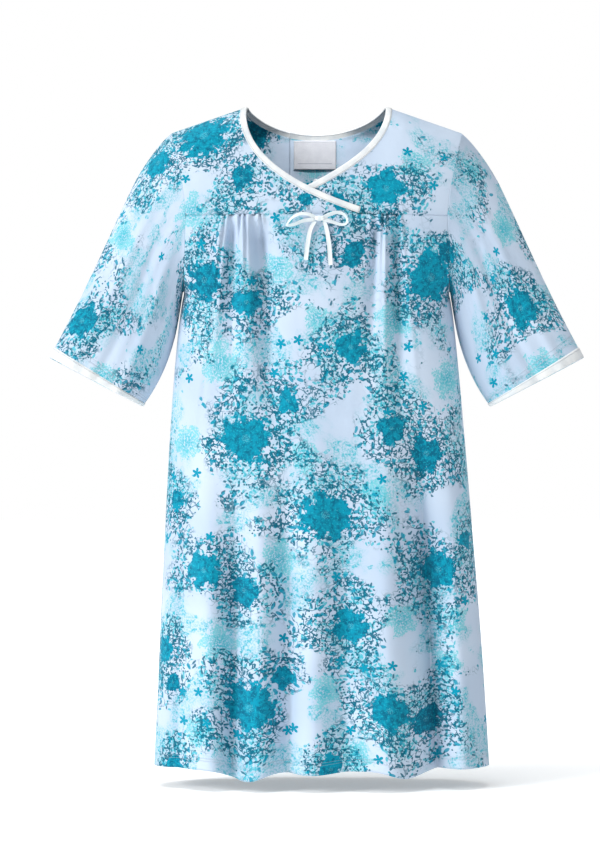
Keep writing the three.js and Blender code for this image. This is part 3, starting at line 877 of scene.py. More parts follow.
def finish_panel(name, bm, blooms, soft, body, middle=(0, 0, -0.5), bare=0.0):
    """Makes a printed panel of cloth. middle is a point inside it that its faces look away from."""
    cloth = bm.loops.layers.uv["cloth"]
    uvs = np.zeros((len(bm.verts), 2))
    for face in bm.faces:
        for loop in face.loops:
            uvs[loop.vert.index] = loop[cloth].uv
    scatter_print(bm, uvs, "bloom", *blooms)
    scatter_print(bm, uvs, "soft", *soft)
    grow_leaves(bm, uvs, bare)
    look_away(bm, middle)
    piece = link_piece(name, bm, PRINTED, body)
    thicken(piece)
    return piece


FRONT = [(BLOOMS, -1)], [(SOFT_BLOOMS, -1)]
grid = bent_grid("skirt_front", 190, 200, skirt_place)
skirt = finish_panel("skirt_front", grid, *FRONT, "torso")
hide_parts("front_skirt")
size = flat_area(skirt)[1]
area = sum(polygon.area for polygon in skirt.data.polygons)
print("skirt front, flat:", size, "area with its folds", round(area, 3))

# %% [markdown]
# ## The yokes
# Each yoke runs from its armhole to the neck line. Straight rows between the two edges keep the
# cloth smooth. The crossed-under one lies a few millimetres further in where the two overlap.

# %% Neck lines and yokes
def bezier_line(*corners):
    """A smooth line in x and z; the function takes shares of its length, 0 to 1."""
    a, b, c, d = (Vector((x, 0, z)) for x, z in corners)
    dots = np.array([p[:] for p in interpolate_bezier(a, b, c, d, 201)])[:, [0, 2]]
    shares = np.linspace(0, 1, 201)
    return lambda t: np.stack([np.interp(t, shares, dots[:, k]) for k in (0, 1)], axis=-1)


def beside(line, distance):
    """The line moved sideways, to the left of its direction of travel."""

    def moved(t):
        ahead = line(np.minimum(t + 0.01, 1)) - line(np.maximum(t - 0.01, 0))
        ahead /= np.linalg.norm(ahead, axis=-1, keepdims=True)
        return line(t) + np.stack([-ahead[..., 1], ahead[..., 0]], axis=-1) * distance

    return moved


OVER_NECK = bezier_line((-0.112, 0), (-0.122, -0.062), (-0.070, -0.120), (0.066, -0.164))
UNDER_NECK = bezier_line((0.112, 0), (0.110, -0.060), (0.062, -0.100), (-0.084, -0.164))


def under_sink(x):
    return YOKE_LAYER * (1 - smooth(x, 0.078, 0.135))


def yoke_place(neck, side, sink_at):
    def place(u, v):
        z = lerp(ridge_z(ARMHOLE_TOP), YOKE_Z, v)
        arm_across, arm_fall = cloth_at(side * armhole_x(z), z)
        edge = neck(v)
        edge[:, 1] -= 0.0072 * smooth(v, 0.8, 1.0)
        neck_across, neck_fall = cloth_at(edge[:, 0], edge[:, 1])
        across = lerp(arm_across, neck_across, u)
        fall = lerp(arm_fall, neck_fall, u) * (v > 0)
        x = body_point(across, fall, -1)[:, 0]
        points = body_point(across, fall, -1, sink_at(x))
        uvs = flat_cloth(across, fall, points[:, 2])
        seam_dip(points, -1)
        return points, uvs, 1.0

    return place


YOKES = [
    ("yoke_over", OVER_NECK, -1, lambda x: 0.0 * x, "front_yoke_over"),
    ("yoke_under", UNDER_NECK, 1, under_sink, "front_yoke_under"),
]
for name, neck, side, sink_at, node in YOKES:
    grid = bent_grid(name, 90, 90, yoke_place(neck, side, sink_at))
    yoke = finish_panel(name, grid, *FRONT, "torso")
    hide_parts(node)
    area, size = flat_area(yoke)
    print(name, "flat:", size)

# %% [markdown]
# ## The sleeves
# A sleeve is a tube from the armhole ring to a flat, slanting cuff. Its points are found from
# how far round and how far along they lie, the first part blending out of the armhole. Soft
# drapes start under the arm and run down the sleeve.

# %% Sleeves
SLEEVE_OUTER = bezier_line((-0.2265, -0.040), (-0.275, -0.062), (-0.312, -0.200), (-0.416, -0.388))
SLEEVE_INNER = bezier_line((-0.2085, -0.286), (-0.214, -0.335), (-0.225, -0.405), (-0.271, -0.464))
SLEEVE_DEPTH, CUFF_DEPTH = 0.058, 0.040
# share round the sleeve at the armhole and at the cuff, half width, height
SLEEVE_DRAPES = [
    (0.30, 0.24, 0.050, 0.0040),
    (0.47, 0.50, 0.045, -0.0045),
    (0.62, 0.74, 0.050, 0.0050),
    (0.80, 0.86, 0.040, -0.0035),
]


def sleeve_point(around, along, side):
    """around: angle from the sleeve's top; along: 0 at the armhole, 1 at the cuff's edge."""
    share = (1 - np.cos(around)) / 2
    outer, inner = SLEEVE_OUTER(along), SLEEVE_INNER(along)
    seen = lerp(outer, inner, share[..., None])
    out = np.sin(around) * lerp(SLEEVE_DEPTH, CUFF_DEPTH, along)
    drapes = sum(h * bump(share, lerp(a, b, along), w) for a, b, w, h in SLEEVE_DRAPES)
    out = out + np.sin(around) * drapes * smooth(along, 0.05, 0.5)
    top, foot = SLEEVE_OUTER(np.array(0.0))[1], SLEEVE_INNER(np.array(0.0))[1]
    z = lerp(top, foot, share)
    x = armhole_x(z) + 0.0004 + 0.0022 * share**6
    across, fall = cloth_at(-x + 0.0008, z)
    ring = body_point(across, fall, 1)[..., 1] * np.clip(8 * np.sin(around), -1, 1)
    turn = smooth(along, 0, 0.4)
    x = -side * lerp(-x, seen[..., 0], turn)
    return np.stack([x, -lerp(ring, out, turn), lerp(z, seen[..., 1], turn)], axis=-1)


def sleeve_place(side, cells, rows):
    def place(u, v):
        points = sleeve_point(-side * (u * 2 - 1) * math.pi, v, side)
        column = np.round(u * cells).astype(int)
        row = np.round(v * rows).astype(int)
        table = np.zeros((rows + 1, cells + 1, 3))
        table[row, column] = points
        steps = np.linalg.norm(np.diff(table, axis=1), axis=2)
        round_it = np.concatenate([np.zeros((rows + 1, 1)), np.cumsum(steps, axis=1)], axis=1)
        round_it -= round_it[:, cells // 2][:, None]
        steps = np.linalg.norm(np.diff(table, axis=0), axis=2)
        down_it = np.concatenate([np.zeros((1, cells + 1)), np.cumsum(steps, axis=0)], axis=0)
        flat = np.stack([round_it + side * 0.5, table[0, :, 2][None] - down_it], axis=-1)
        dips = 0.0012 * bump(v, 0, 0.006)
        points[:, 0] += -side * dips
        return points, flat[row, column], (1 - v) * 0.30

    return place


SLEEVE_CELLS, SLEEVE_ROWS = 120, 100
for word, side in (("left", -1), ("right", 1)):
    name = "sleeve_cloth_" + word
    place = sleeve_place(side, SLEEVE_CELLS, SLEEVE_ROWS)
    grid = bent_grid(name, SLEEVE_CELLS, SLEEVE_ROWS, place)
    bmesh.ops.remove_doubles(grid, verts=grid.verts, dist=0.00005)
    grid.verts.index_update()
    print(name, "vertices:", len(grid.verts))
    blooms = [(BLOOMS, -1), (SLEEVE_BACKS, 1)]
    sleeve = finish_panel(name, grid, blooms, [(SOFT_BLOOMS, -1)], None, (side * 0.26, 0, -0.28))
    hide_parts("sleeve_" + word)
    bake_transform(sleeve)
    area, size = flat_area(sleeve)
    print(name, "flat:", size)

# %% [markdown]
# ## The back
# The back hangs in two halves that overlap. Each is one sheet from the side seam and armhole to
# its free edge. The inner half lies a layer closer to the wearer near the centre line.

# %% Back halves
BACK_NECK_DROP, BACK_NECK_POWER = 0.0385, 1.6


def back_neck(turn):
    """The back neck line; turn runs from -pi/2 at the left neck point to pi/2 at the right."""
    cosine = np.clip(np.cos(turn), 0, 1)
    return np.stack([NECK_HALF * np.sin(turn), -BACK_NECK_DROP * cosine**BACK_NECK_POWER], axis=-1)


def coons(top, bottom, left, right):
    """A patch between four edges, each a function of 0 to 1 that gives cloth coordinates."""

    def cloth(u, v):
        zero, one = np.zeros_like(u), np.ones_like(u)
        made = []
        for k in (0, 1):
            edges = (1 - v) * top(u)[k] + v * bottom(u)[k] + (1 - u) * left(v)[k] + u * right(v)[k]
            upper = (1 - u) * top(zero)[k] + u * top(one)[k]
            lower = (1 - u) * bottom(zero)[k] + u * bottom(one)[k]
            made.append(edges - (1 - v) * upper - v * lower)
        return made

    return cloth


NECK_SHARE = 0.56
HEM_FALL = ROLL - HEM_Z - SHOULDER_ROLL
BACK_DRAPES = [
    (-0.170, -0.25, -0.185, -1.06, 0.026, 0.0080),
    (-0.110, -0.45, -0.120, -1.06, 0.030, -0.0060),
    (-0.070, -0.20, -0.060, -1.06, 0.030, 0.0070),
    (0.085, -0.30, 0.095, -1.06, 0.028, 0.0080),
    (0.135, -0.40, 0.150, -1.06, 0.024, -0.0060),
    (0.190, -0.35, 0.205, -1.06, 0.022, 0.0070),
]


def flap_sink(x):
    return FLAP_LAYER * (1 - smooth(x, 0.046, 0.084))


def back_place(side, sink_at):
    start = math.asin(-OVERLAP / NECK_HALF)

    def top(u):
        turn = lerp(start, math.pi / 2, np.clip(u / NECK_SHARE, 0, 1))
        x, z = back_neck(turn).T
        out = np.clip((u - NECK_SHARE) / (1 - NECK_SHARE), 0, 1)
        x = np.where(out > 0, lerp(NECK_HALF, ARMHOLE_TOP, out), x)
        z = np.where(out > 0, ridge_z(x), z)
        across, fall = cloth_at(side * x, z)
        return across, fall * (out <= 0)

    def free_edge(v):
        z = lerp(back_neck(np.array([start]))[0, 1], HEM_Z, v)
        return cloth_at(side * -OVERLAP + 0 * z, z)

    def side_edge(v):
        z = lerp(ridge_z(ARMHOLE_TOP), HEM_Z, v)
        across = side * edge_angle(z)
        x = np.where(z <= UNDERARM_Z, half_width(z) * 0.9999, armhole_x(z))
        return across, cloth_at(side * x, z)[1]

    foot = free_edge(np.array([1.0]))[0][0]

    def hem(u):
        return lerp(foot, side * SIDE, u), HEM_FALL + 0 * u

    cloth = coons(top, hem, free_edge, side_edge)

    def place(u, v):
        across, fall = cloth(u, v**1.15)
        x = body_point(across, fall, 1)[:, 0]
        points = body_point(across, fall, 1, sink_at(x))
        uvs = flat_cloth(across, fall, points[:, 2])
        out = np.zeros_like(x)
        for top_x, top_z, low_x, low_z, width, height in BACK_DRAPES:
            t = (points[:, 2] - top_z) / (low_z - top_z)
            out += height * smooth(t, 0, 0.5) * bump(x, lerp(top_x, low_x, t), width)
        points[:, 1] += out
        seam_dip(points, 1)
        hem_rise(points, smooth(-points[:, 2], 0, -HEM_Z) ** 1.2, 1)
        return points, uvs, points[:, 2] - np.min(points[:, 2])

    return place


BACK_HALVES = [
    ("back_outer", -1, lambda x: 0 * x, "outer_flap", "back_panel_left", "back_flap_outer"),
    ("back_inner", 1, flap_sink, "inner_flap", "back_panel_right", "back_flap_inner"),
]
FOLD_BAND = 0.024


def fold_line(piece, side):
    """Bakes the piece's transform into its mesh. The direction square to the flap's slanting fold
    line is worked out, but the piece is not bent along it."""
    over = Vector((side * HEM_Z, 0, FOLD_TOP_HALF - FOLD_HEM_HALF))
    over = over.normalized() * FOLD_BAND / 2
    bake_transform(piece)


for name, side, sink_at, body, panel, flap in BACK_HALVES:
    grid = bent_grid(name, 130, 170, back_place(side, sink_at))
    half = finish_panel(name, grid, [(BACK_BLOOMS, 1)], [(BACK_SOFT, 1)], None, bare=1.0)
    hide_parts(panel, flap)
    fold_line(half, side)
    area, size = flat_area(half)
    print(name, "flat:", size)

# %% [markdown]
# ## Bindings
# Every raw edge is wrapped in a folded tape. A tape is a flattened tube: the grid's u goes
# along the edge and v round the tape, and the two long edges are merged into one. A row of
# stitches runs near its inner edge.

# %% Tape material
def tape_cloth():
    material, tree, shader = new_material("binding_tape", 0.75, (0.74, 0.76, 0.76))
    where = flat_place(tree)
    tint = noise(tree, where, 40, 3)
    rib = sums(tree, "SINE", times(tree, parts_of(tree, where)[0], 2 * math.pi / COTTON_PITCH))
    stitches = stitch_rows(tree, where, (0.0016,))
    colour = coloured(tree, between(tree, tint, 0.3, 0.7), (0.66, 0.70, 0.73), (0.80, 0.81, 0.80))
    colour = coloured(tree, times(tree, stitches, 0.45), colour, (0.42, 0.46, 0.50))
    tree.links.new(colour, shader.inputs["Base Color"])
    tree.links.new(sums(tree, "MULTIPLY_ADD", tint, 0.2, 0.60), shader.inputs["Roughness"])
    shader.inputs["Sheen Weight"].default_value = 0.2
    add_bump(tree, shader, [(noise(tree, where, 55, 2), 0.0008), (rib, 0.00008), (stitches, 0.0005)])
    return material


TAPE = tape_cloth()
print("tape nodes:", len(TAPE.node_tree.nodes))

# %% [markdown]
# ## The tapes in place
# The neck tapes follow the same neck lines as the yokes and the back, so they sit on their
# edges, and the cuff tapes are closed rings. A tube closed this way has no raw edge to show.

# %% Tapes
TAPE_THICK = 0.0012
TAPE_HALF = 0.005
CUFF_HALF = 0.0044
TAPE_STEPS, TAPE_ROUND = 110, 16


def tape_grid(name, place, wide=TAPE_HALF, ring=False):
    """place(t, offset) gives points of the tape's middle surface; offset runs across it."""

    def wrapped(u, v):
        angle = v * 2 * math.pi
        c, s = np.cos(angle), np.sin(angle)
        flat_c = np.sign(c) * np.abs(c) ** 0.5
        flat_s = np.sign(s) * np.abs(s) ** 0.6
        step = 0.0005
        ahead = place(np.minimum(u + 0.005, 1), 0 * u) - place(np.maximum(u - 0.005, 0), 0 * u)
        over = place(u, step + 0 * u) - place(u, -step + 0 * u)
        normal = np.cross(ahead, over)
        normal /= np.linalg.norm(normal, axis=1, keepdims=True)
        points = place(u, wide * flat_c) + normal * (TAPE_THICK * flat_s)[:, None]
        shares = np.linspace(0, 1, 400)
        line = place(shares, 0 * shares)
        length = np.concatenate([[0], np.cumsum(np.linalg.norm(np.diff(line, axis=0), axis=1))])
        uvs = np.stack([np.interp(u, shares, length), wide * flat_c], axis=-1)
        return points, uvs, wide + wide * flat_c

    bm = bent_grid(name, TAPE_STEPS, TAPE_ROUND, wrapped)
    bmesh.ops.remove_doubles(bm, verts=bm.verts, dist=0.00002)
    if not ring:
        ends = [edge for edge in bm.edges if edge.is_boundary]
        bmesh.ops.holes_fill(bm, edges=ends, sides=0)
    bmesh.ops.recalc_face_normals(bm, faces=bm.faces)
    return bm


def neck_tape(line, side, sink_at, face):
    def place(t, offset):
        spot = line(t)
        ahead = line(np.minimum(t + 0.005, 1)) - line(np.maximum(t - 0.005, 0))
        ahead /= np.linalg.norm(ahead, axis=1, keepdims=True)
        spot = spot + np.stack([-ahead[:, 1], ahead[:, 0]], axis=-1) * offset[:, None] * side
        across, fall = cloth_at(spot[:, 0], np.minimum(spot[:, 1], ridge_z(spot[:, 0])))
        return body_point(across, fall, face, sink_at(spot[:, 0]))

    return place


def no_sink(x):
    return 0 * x


def back_line(side):
    start, end = side * math.pi / 2 * 0.995, math.asin(-side * OVERLAP / NECK_HALF)
    return lambda t: back_neck(lerp(start, end, t))


NECK_TAPES = [
    ("tape_over", neck_tape(OVER_NECK, 1, no_sink, -1), "torso", "neck_binding_over"),
    ("tape_under", neck_tape(UNDER_NECK, -1, under_sink, -1), "torso", "neck_binding_under"),
]
for name, place, body, node in NECK_TAPES:
    tape = link_piece(name, tape_grid(name, place), TAPE, body)
    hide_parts(node)
    print(name, "faces:", len(tape.data.polygons))

for name, side, sink_at, half in (("outer", -1, no_sink, "left"), ("inner", 1, flap_sink, "right")):
    place = neck_tape(back_line(side), side, sink_at, 1)
    grid = tape_grid("tape_back_" + name, place)
    tape = link_piece("tape_back_" + name, grid, TAPE, None)
    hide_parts("neck_binding_back_" + half, "neck_binding_flap_" + name)
    fold_line(tape, side)
    print(name, "faces:", len(tape.data.polygons))

CUFF_ALONG, SLEEVE_LENGTH = 0.985, 0.32


def cuff_tape(side):
    return lambda t, offset: sleeve_point(t * 2 * math.pi, CUFF_ALONG + offset / SLEEVE_LENGTH, side)


for word, side in (("left", -1), ("right", 1)):
    grid = tape_grid("tape_cuff_" + word, cuff_tape(side), CUFF_HALF, ring=True)
    tape = link_piece("tape_cuff_" + word, grid, TAPE, word + "_sleeve")
    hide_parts("cuff_binding_" + word)

# %% [markdown]
# ## The label
# A woven label is sewn in below the back of the neck. It is a small sheet with a slight bow in
# it. It carries a fine satin weave and one thin woven line near its foot, and no lettering.

# %% Label
LABEL_LINE, LABEL_SEAM = 0.0095, 0.0440
LABEL_BOW = 0.0012
LABEL_THICK = 0.0007


def thread_line(tree, where, height):
    """A thin line across the label at a height above its foot."""
    off = sums(tree, "ABSOLUTE", sums(tree, "SUBTRACT", where, height))
    return sums(tree, "SUBTRACT", 1, between(tree, off, 0.0003, 0.0006))


def label_cloth():
    material, tree, shader = new_material("label_cloth", 0.5, (0.62, 0.63, 0.68))
    where = flat_place(tree)
    across, up, _ = parts_of(tree, where)
    tint = coloured(tree, noise(tree, where, 90, 3), (0.56, 0.57, 0.62), (0.68, 0.69, 0.73))
    short = between(tree, sums(tree, "ABSOLUTE", across), 0.027, 0.0265)
    line = times(tree, thread_line(tree, up, LABEL_LINE), short)
    seam = thread_line(tree, up, LABEL_SEAM)
    marks = sums(tree, "MAXIMUM", times(tree, line, 0.7), times(tree, seam, 0.4))
    tree.links.new(coloured(tree, marks, tint, (0.16, 0.18, 0.26)), shader.inputs["Base Color"])
    gloss = sums(tree, "MULTIPLY_ADD", noise(tree, where, 200, 2), 0.2, 0.38)
    tree.links.new(gloss, shader.inputs["Roughness"])
    shader.inputs["Sheen Weight"].default_value = 0.2
    add_bump(tree, shader, [(weave(tree, where, SATIN_PITCH), 0.00008), (marks, 0.0002)])
    return material


LABEL_LOW, LABEL_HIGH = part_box("label")


def label_place(u, v):
    x = lerp(LABEL_LOW[0], LABEL_HIGH[0], u)
    z = lerp(LABEL_HIGH[2], LABEL_LOW[2], v)
    bow = LABEL_BOW * np.sin(u * math.pi) * v
    points = np.stack([x, LABEL_LOW[1] - bow, z], axis=-1)
    width = LABEL_HIGH[0] - LABEL_LOW[0]
    height = LABEL_HIGH[2] - LABEL_LOW[2]
    return points, np.stack([(u - 0.5) * width, (1 - v) * height], axis=-1), 1.0


grid = bent_grid("neck_label", 40, 28, label_place)
look_away(grid, (0, 0.3, -0.06))
label = link_piece("neck_label", grid, label_cloth(), "label_tag")
thicken(label, LABEL_THICK)
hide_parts("label")
area, size = flat_area(label)
print("label:", size)

# %% [markdown]
# ## Snaps
# Three moulded snaps close the back. Each half is one turned shape: the profile goes round with
# spin, the axis points are merged, and the normals are made to face out.

# %% Snaps
def snap_finish():
    material, tree, shader = new_material("snap_finish", 0.35, (0.80, 0.82, 0.83))
    coordinates = tree.nodes.new("ShaderNodeTexCoord").outputs["Object"]
    cloud = noise(tree, coordinates, 350, 3)
    tint = coloured(tree, cloud, (0.72, 0.75, 0.77), (0.88, 0.89, 0.90))
    tree.links.new(tint, shader.inputs["Base Color"])
    tree.links.new(sums(tree, "MULTIPLY_ADD", cloud, 0.25, 0.22), shader.inputs["Roughness"])
    shader.inputs["Coat Weight"].default_value = 0.4
    add_bump(tree, shader, [(noise(tree, coordinates, 900, 2), 0.00008)])
    return material


SNAP_FINISH = snap_finish()
# radius and height outwards, in millimetres
CAP = [
    (0, 2.1), (2.6, 2.0), (4.2, 1.75), (4.8, 1.45), (5.0, 1.0), (4.6, 0.75), (1.4, 0.75), (1.4, -1.6),
    (1.8, -1.0), (4.8, -1.0), (5.0, -1.5), (4.9, -2.2), (4.5, -2.6), (3.0, -2.6), (2.6, -1.7), (0, -1.6),
]
STUD = [
    (0, 2.7), (1.6, 2.65), (2.2, 2.4), (2.3, 1.9), (2.1, 1.5), (4.7, 1.4), (5.0, 1.15), (4.8, 0.9),
    (1.4, 0.8), (1.4, -0.9), (4.8, -0.95), (5.0, -1.2), (4.4, -1.55), (2.2, -1.75), (0, -1.6),
]
CAP_TOP = 0.0021
SNAP_STEPS = 40


def turned(name, profile, y, z, body, nodes):
    """Spins a profile of (radius, height outwards) in millimetres about an axis along y."""
    bm = bmesh.new()
    dots = [bm.verts.new((radius * MM, y + height * MM, z)) for radius, height in profile]
    edges = [bm.edges.new(pair) for pair in zip(dots, dots[1:])]
    bmesh.ops.spin(
        bm, geom=dots + edges, cent=(0, y, z), axis=(0, 1, 0),
        angle=2 * math.pi, steps=SNAP_STEPS, use_merge=True,
    )
    bmesh.ops.remove_doubles(bm, verts=bm.verts, dist=0.00001)
    bmesh.ops.recalc_face_normals(bm, faces=bm.faces)
    piece = link_piece(name, bm, SNAP_FINISH, body)
    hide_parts(*nodes)
    return piece


for number in ("_1", "_2", "_3"):
    low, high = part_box("snap_cap" + number)
    z = (low[2] + high[2]) / 2
    y = high[1] - CAP_TOP
    nodes = "snap_cap" + number, "snap_socket" + number
    turned("snap_outer" + number, CAP, y, z, "outer_flap", nodes)
    nodes = "snap_stud" + number, "snap_ring" + number
    turned("snap_inner" + number, STUD, y - FLAP_LAYER, z, "inner_flap", nodes)
    print("snap" + number, "at height", round(z, 3))

# %% [markdown]
# ## The bow
# A narrow ribbon is tied at the middle of the yoke seam. Its two ends hang free over the
# skirt, so they are cords: limp, flat, a few centimetres long, and cut straight. A ribbon is a
# strip that follows a line, with its width across the line.

# %% Ribbon material
def satin_ribbon():
    material, tree, shader = new_material("satin_ribbon", 0.45, (0.74, 0.80, 0.82))
    where = flat_place(tree)
    across = parts_of(tree, where)[1]
    rib = sums(tree, "SINE", times(tree, parts_of(tree, where)[0], 2 * math.pi / SATIN_PITCH))
    selvage = between(tree, sums(tree, "ABSOLUTE", across), 0.0024, 0.0028)
    tint = coloured(tree, noise(tree, where, 120, 3), (0.64, 0.73, 0.77), (0.80, 0.85, 0.86))
    tint = coloured(tree, times(tree, selvage, 0.5), tint, (0.88, 0.90, 0.90))
    tree.links.new(tint, shader.inputs["Base Color"])
    gloss = sums(tree, "MULTIPLY_ADD", noise(tree, where, 300, 2), 0.2, 0.32)
    tree.links.new(gloss, shader.inputs["Roughness"])
    shader.inputs["Sheen Weight"].default_value = 0.3
    add_bump(tree, shader, [(rib, 0.00005), (selvage, 0.0003), (noise(tree, where, 70, 2), 0.0006)])
    return material


SATIN = satin_ribbon()
RIBBON = 0.0065
RIBBON_THICK = 0.0005
RIBBON_CUP = 0.0005
BOW_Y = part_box("bow_tail_left")[0][1] + 0.0005


def smooth_path(corners, count=60):
    """A smooth line through the given points, with evenly spaced results."""
    corners = np.array(corners, float)
    before, after = 2 * corners[:1] - corners[1:2], 2 * corners[-1:] - corners[-2:-1]
    padded = np.concatenate([before, corners, after])
    dots = []
    for a, b, c, d in zip(padded, padded[1:], padded[2:], padded[3:]):
        t = np.linspace(0, 1, 40, endpoint=False)[:, None]
        bend, twist = 2 * a - 5 * b + 4 * c - d, 3 * b - a - 3 * c + d
        dots.append(0.5 * (2 * b + (c - a) * t + bend * t**2 + twist * t**3))
    dots = np.concatenate(dots + [corners[-1:]])
    length = np.concatenate([[0], np.cumsum(np.linalg.norm(np.diff(dots, axis=0), axis=1))])
    even = np.linspace(0, length[-1], count)
    return np.stack([np.interp(even, length, dots[:, k]) for k in range(3)], axis=-1), float(length[-1])


def along_path(u, path):
    shares = np.linspace(0, 1, len(path))
    return np.stack([np.interp(u, shares, path[:, k]) for k in range(3)], axis=-1)


def ribbon(name, corners, lean):
    """A ribbon along a path. lean turns its width from facing the viewer (0) to edge on (1)."""
    path, length = smooth_path(corners)

    def place(u, v):
        ahead = along_path(u, np.gradient(path, axis=0))
        ahead /= np.linalg.norm(ahead, axis=1, keepdims=True)
        flat = np.cross(ahead, (0, -1, 0))
        flat /= np.linalg.norm(flat, axis=1, keepdims=True)
        tilt = np.interp(u, np.linspace(0, 1, len(lean)), lean) * math.pi / 2
        wide = flat * np.cos(tilt)[:, None] + np.cross(ahead, flat) * np.sin(tilt)[:, None]
        offset = (v - 0.5) * RIBBON
        cup = RIBBON_CUP * (1 - (2 * v - 1) ** 2)
        points = along_path(u, path) + wide * offset[:, None] + np.cross(ahead, wide) * cup[:, None]
        return points, np.stack([u * length, offset], axis=-1), 1.0

    bm = bent_grid(name, 59, 8, place)
    piece = link_piece(name, bm, SATIN, "torso")
    thicken(piece, RIBBON_THICK)
    return piece, path, length


print("ribbon:", RIBBON * 1000, "mm wide")

# %% [markdown]
# ## The bow's tails, loops and knot
# The two tails hang from the knot along listed points, and their lengths are printed. Each
# loop is a ribbon that goes out and comes back, turned partly on edge. The knot is a small
# ball, flattened and pinched where the ribbon wraps round it.

# %% Tails, loops and knot
KNOT_X, KNOT_Z = 0.0040, -0.1775
KNOT_HALF = Vector((0.0082, 0.0034, 0.0041))
TAIL_ROUTES = {
    "left": [(-0.0030, -0.1815), (-0.0100, -0.1950), (-0.0140, -0.2170), (-0.0170, -0.2410)],
    "right": [(0.0110, -0.1815), (0.0150, -0.1950), (0.0190, -0.2200), (0.0210, -0.2490)],
}
for word, route in TAIL_ROUTES.items():
    corners = [(x, BOW_Y - 0.0012 - 0.0006 * k, z) for k, (x, z) in enumerate(route)]
    tail, path, length = ribbon("ribbon_tail_" + word, corners, (0.35, 0.2, 0.05, 0.0, 0.15))
    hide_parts("bow_tail_" + word)
    print("ribbon tail", word, round(length * 1000, 1), "mm")

LOOP_LEAN = (0.35, 0.45, 0.55, 0.75, 0.55, 0.45, 0.35)
LOOP_ROUTES = {
    "left": [
        (-0.002, -0.1765), (-0.012, -0.1715), (-0.025, -0.1705), (-0.037, -0.1760), (-0.045, -0.1855),
        (-0.044, -0.1890), (-0.034, -0.1870), (-0.020, -0.1815), (-0.003, -0.1790),
    ],
    "right": [
        (0.010, -0.1765), (0.019, -0.1720), (0.032, -0.1690), (0.042, -0.1730), (0.046, -0.1810),
        (0.043, -0.1865), (0.034, -0.1865), (0.021, -0.1820), (0.010, -0.1790),
    ],
}
for word, route in LOOP_ROUTES.items():
    puff = [0.0030 + 0.0040 * math.sin(k / (len(route) - 1) * math.pi) for k in range(len(route))]
    corners = [(x, BOW_Y - out, z) for (x, z), out in zip(route, puff)]
    loop, _, length = ribbon("ribbon_loop_" + word, corners, LOOP_LEAN)
    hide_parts("bow_loop_" + word)
    print("ribbon loop", word, round(length * 1000, 1), "mm")

bm = bmesh.new()
bmesh.ops.create_uvsphere(bm, u_segments=40, v_segments=24, radius=1)
cloth = bm.loops.layers.uv.new("cloth")
for vert in bm.verts:
    x, y, z = vert.co
    wrap = 0.10 * math.cos(7 * x + 1.5) * (1 - abs(x))
    groove = 1 + wrap - 0.12 * math.exp(-(((z - 0.1) / 0.16) ** 2))
    wide, deep, tall = KNOT_HALF
    vert.co = (KNOT_X + x * wide, BOW_Y - 0.0022 + y * deep * groove, KNOT_Z + z * tall * groove)
for face in bm.faces:
    for ring in face.loops:
        ring[cloth].uv = (ring.vert.co.z, ring.vert.co.x - KNOT_X)
knot = link_piece("ribbon_knot", bm, SATIN, "torso")
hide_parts("bow_knot")

# %% [markdown]
# ## The camera
# The gown is seen straight from the front, from a few metres away, so that it keeps its true
# outline. The lens follows from the distance and from how tall a piece of the scene it shows.

# %% Camera
CAMERA_AWAY = 5.0
FRAME_HEIGHT = 1.32855
SENSOR = 36
camera_data = bpy.data.cameras.new("camera")
camera_data.sensor_fit = "VERTICAL"
camera_data.sensor_height = SENSOR
camera_data.lens = SENSOR * CAMERA_AWAY / FRAME_HEIGHT
camera = bpy.data.objects.new("camera", camera_data)
camera.location = (-0.0257, -CAMERA_AWAY, -0.4953)
camera.rotation_euler = (math.pi / 2, 0, 0)
bpy.context.collection.objects.link(camera)
bpy.context.scene.camera = camera
print("lens:", round(camera_data.lens, 1))

# %% [markdown]
# ## The floor
# A wide, almost white floor just below the hem catches a soft shadow. It glows a little, so
# that it runs into the white surround with no visible horizon.

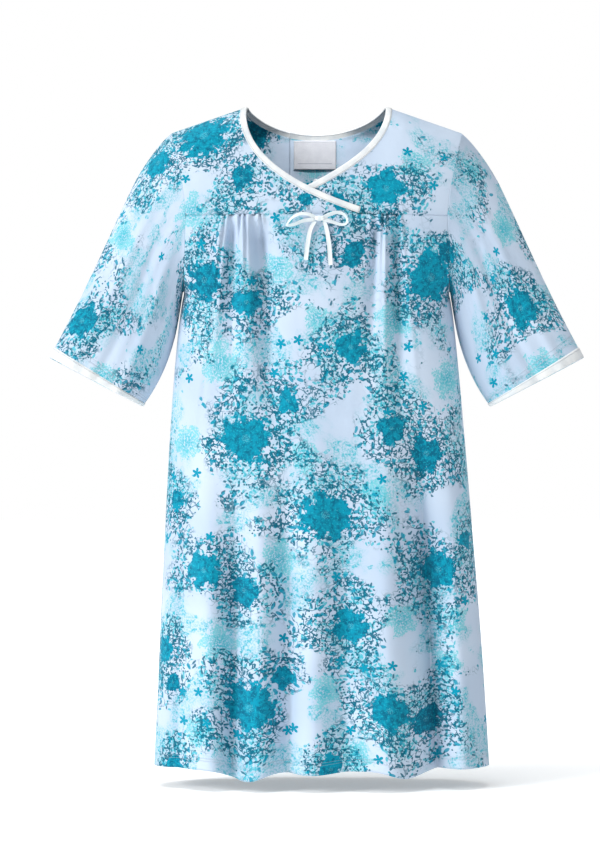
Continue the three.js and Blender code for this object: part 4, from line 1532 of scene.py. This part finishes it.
# %% Floor
FLOOR_Z = -1.054
FLOOR_HALF = 14
material, tree, shader = new_material("floor", 0.8, (0.92, 0.92, 0.92))
place = tree.nodes.new("ShaderNodeTexCoord").outputs["Object"]
shade = coloured(tree, noise(tree, place, 6, 2), (0.91, 0.91, 0.92), (0.93, 0.93, 0.93))
tree.links.new(shade, shader.inputs["Base Color"])
shader.inputs["Emission Color"].default_value = (1, 1, 1, 1)
shader.inputs["Emission Strength"].default_value = 0.30
bm = bmesh.new()
below = Matrix.Translation((0, 0, FLOOR_Z))
bmesh.ops.create_grid(bm, x_segments=8, y_segments=8, size=FLOOR_HALF, matrix=below)
mesh = bpy.data.meshes.new("floor")
bm.to_mesh(mesh)
bm.free()
mesh.materials.append(material)
floor = bpy.data.objects.new("floor", mesh)
bpy.context.collection.objects.link(floor)
print("floor", round(HEM_Z - FLOOR_Z, 3), "below the hem")

# %% [markdown]
# ## The light
# A broad soft sun from the upper left draws the folds, and a weaker one from overhead fills
# the shoulders. Only the surround seen by the camera is pure white; the light it gives is
# dimmer, so that the folds keep their shade.

# %% Light
def lamp(name, kind, energy, towards, place=(0, 0, 0)):
    data = bpy.data.lights.new(name, kind)
    data.energy = energy
    light = bpy.data.objects.new(name, data)
    light.location = place
    light.rotation_euler = Vector(towards).to_track_quat("-Z", "Y").to_euler()
    bpy.context.collection.objects.link(light)
    return data


lamp("key", "SUN", 2.35, (0.80, 0.55, -0.50)).angle = math.radians(30)
lamp("overhead", "SUN", 1.7, (0.16, 0.10, -1.0)).angle = math.radians(40)

# A narrow spot from above the front reaches the label and the inside of the back.
NECK_SPOT = Vector((0.0, -0.25, 0.35))
neck_spot = lamp("neck", "SPOT", 10.0, Vector((0, 0.085, -0.05)) - NECK_SPOT, NECK_SPOT)
neck_spot.spot_size = math.radians(26)
neck_spot.spot_blend = 0.6
neck_spot.shadow_soft_size = 0.03
print("lights:", [light.name for light in bpy.data.lights])

world = bpy.data.worlds.new("studio")
world.use_nodes = True
bpy.context.scene.world = world
surround = world.node_tree
seen = surround.nodes.new("ShaderNodeBackground")
seen.inputs["Color"].default_value = (1, 1, 1, 1)
seen.inputs["Strength"].default_value = 1.0
light = surround.nodes["Background"]
light.inputs["Color"].default_value = (0.95, 0.98, 1.0, 1)
light.inputs["Strength"].default_value = 0.36
who = surround.nodes.new("ShaderNodeLightPath")
choose = surround.nodes.new("ShaderNodeMixShader")
surround.links.new(who.outputs["Is Camera Ray"], choose.inputs[0])
surround.links.new(light.outputs[0], choose.inputs[1])
surround.links.new(seen.outputs[0], choose.inputs[2])
surround.links.new(choose.outputs[0], surround.nodes["World Output"].inputs["Surface"])
bpy.context.scene.view_settings.view_transform = "Standard"
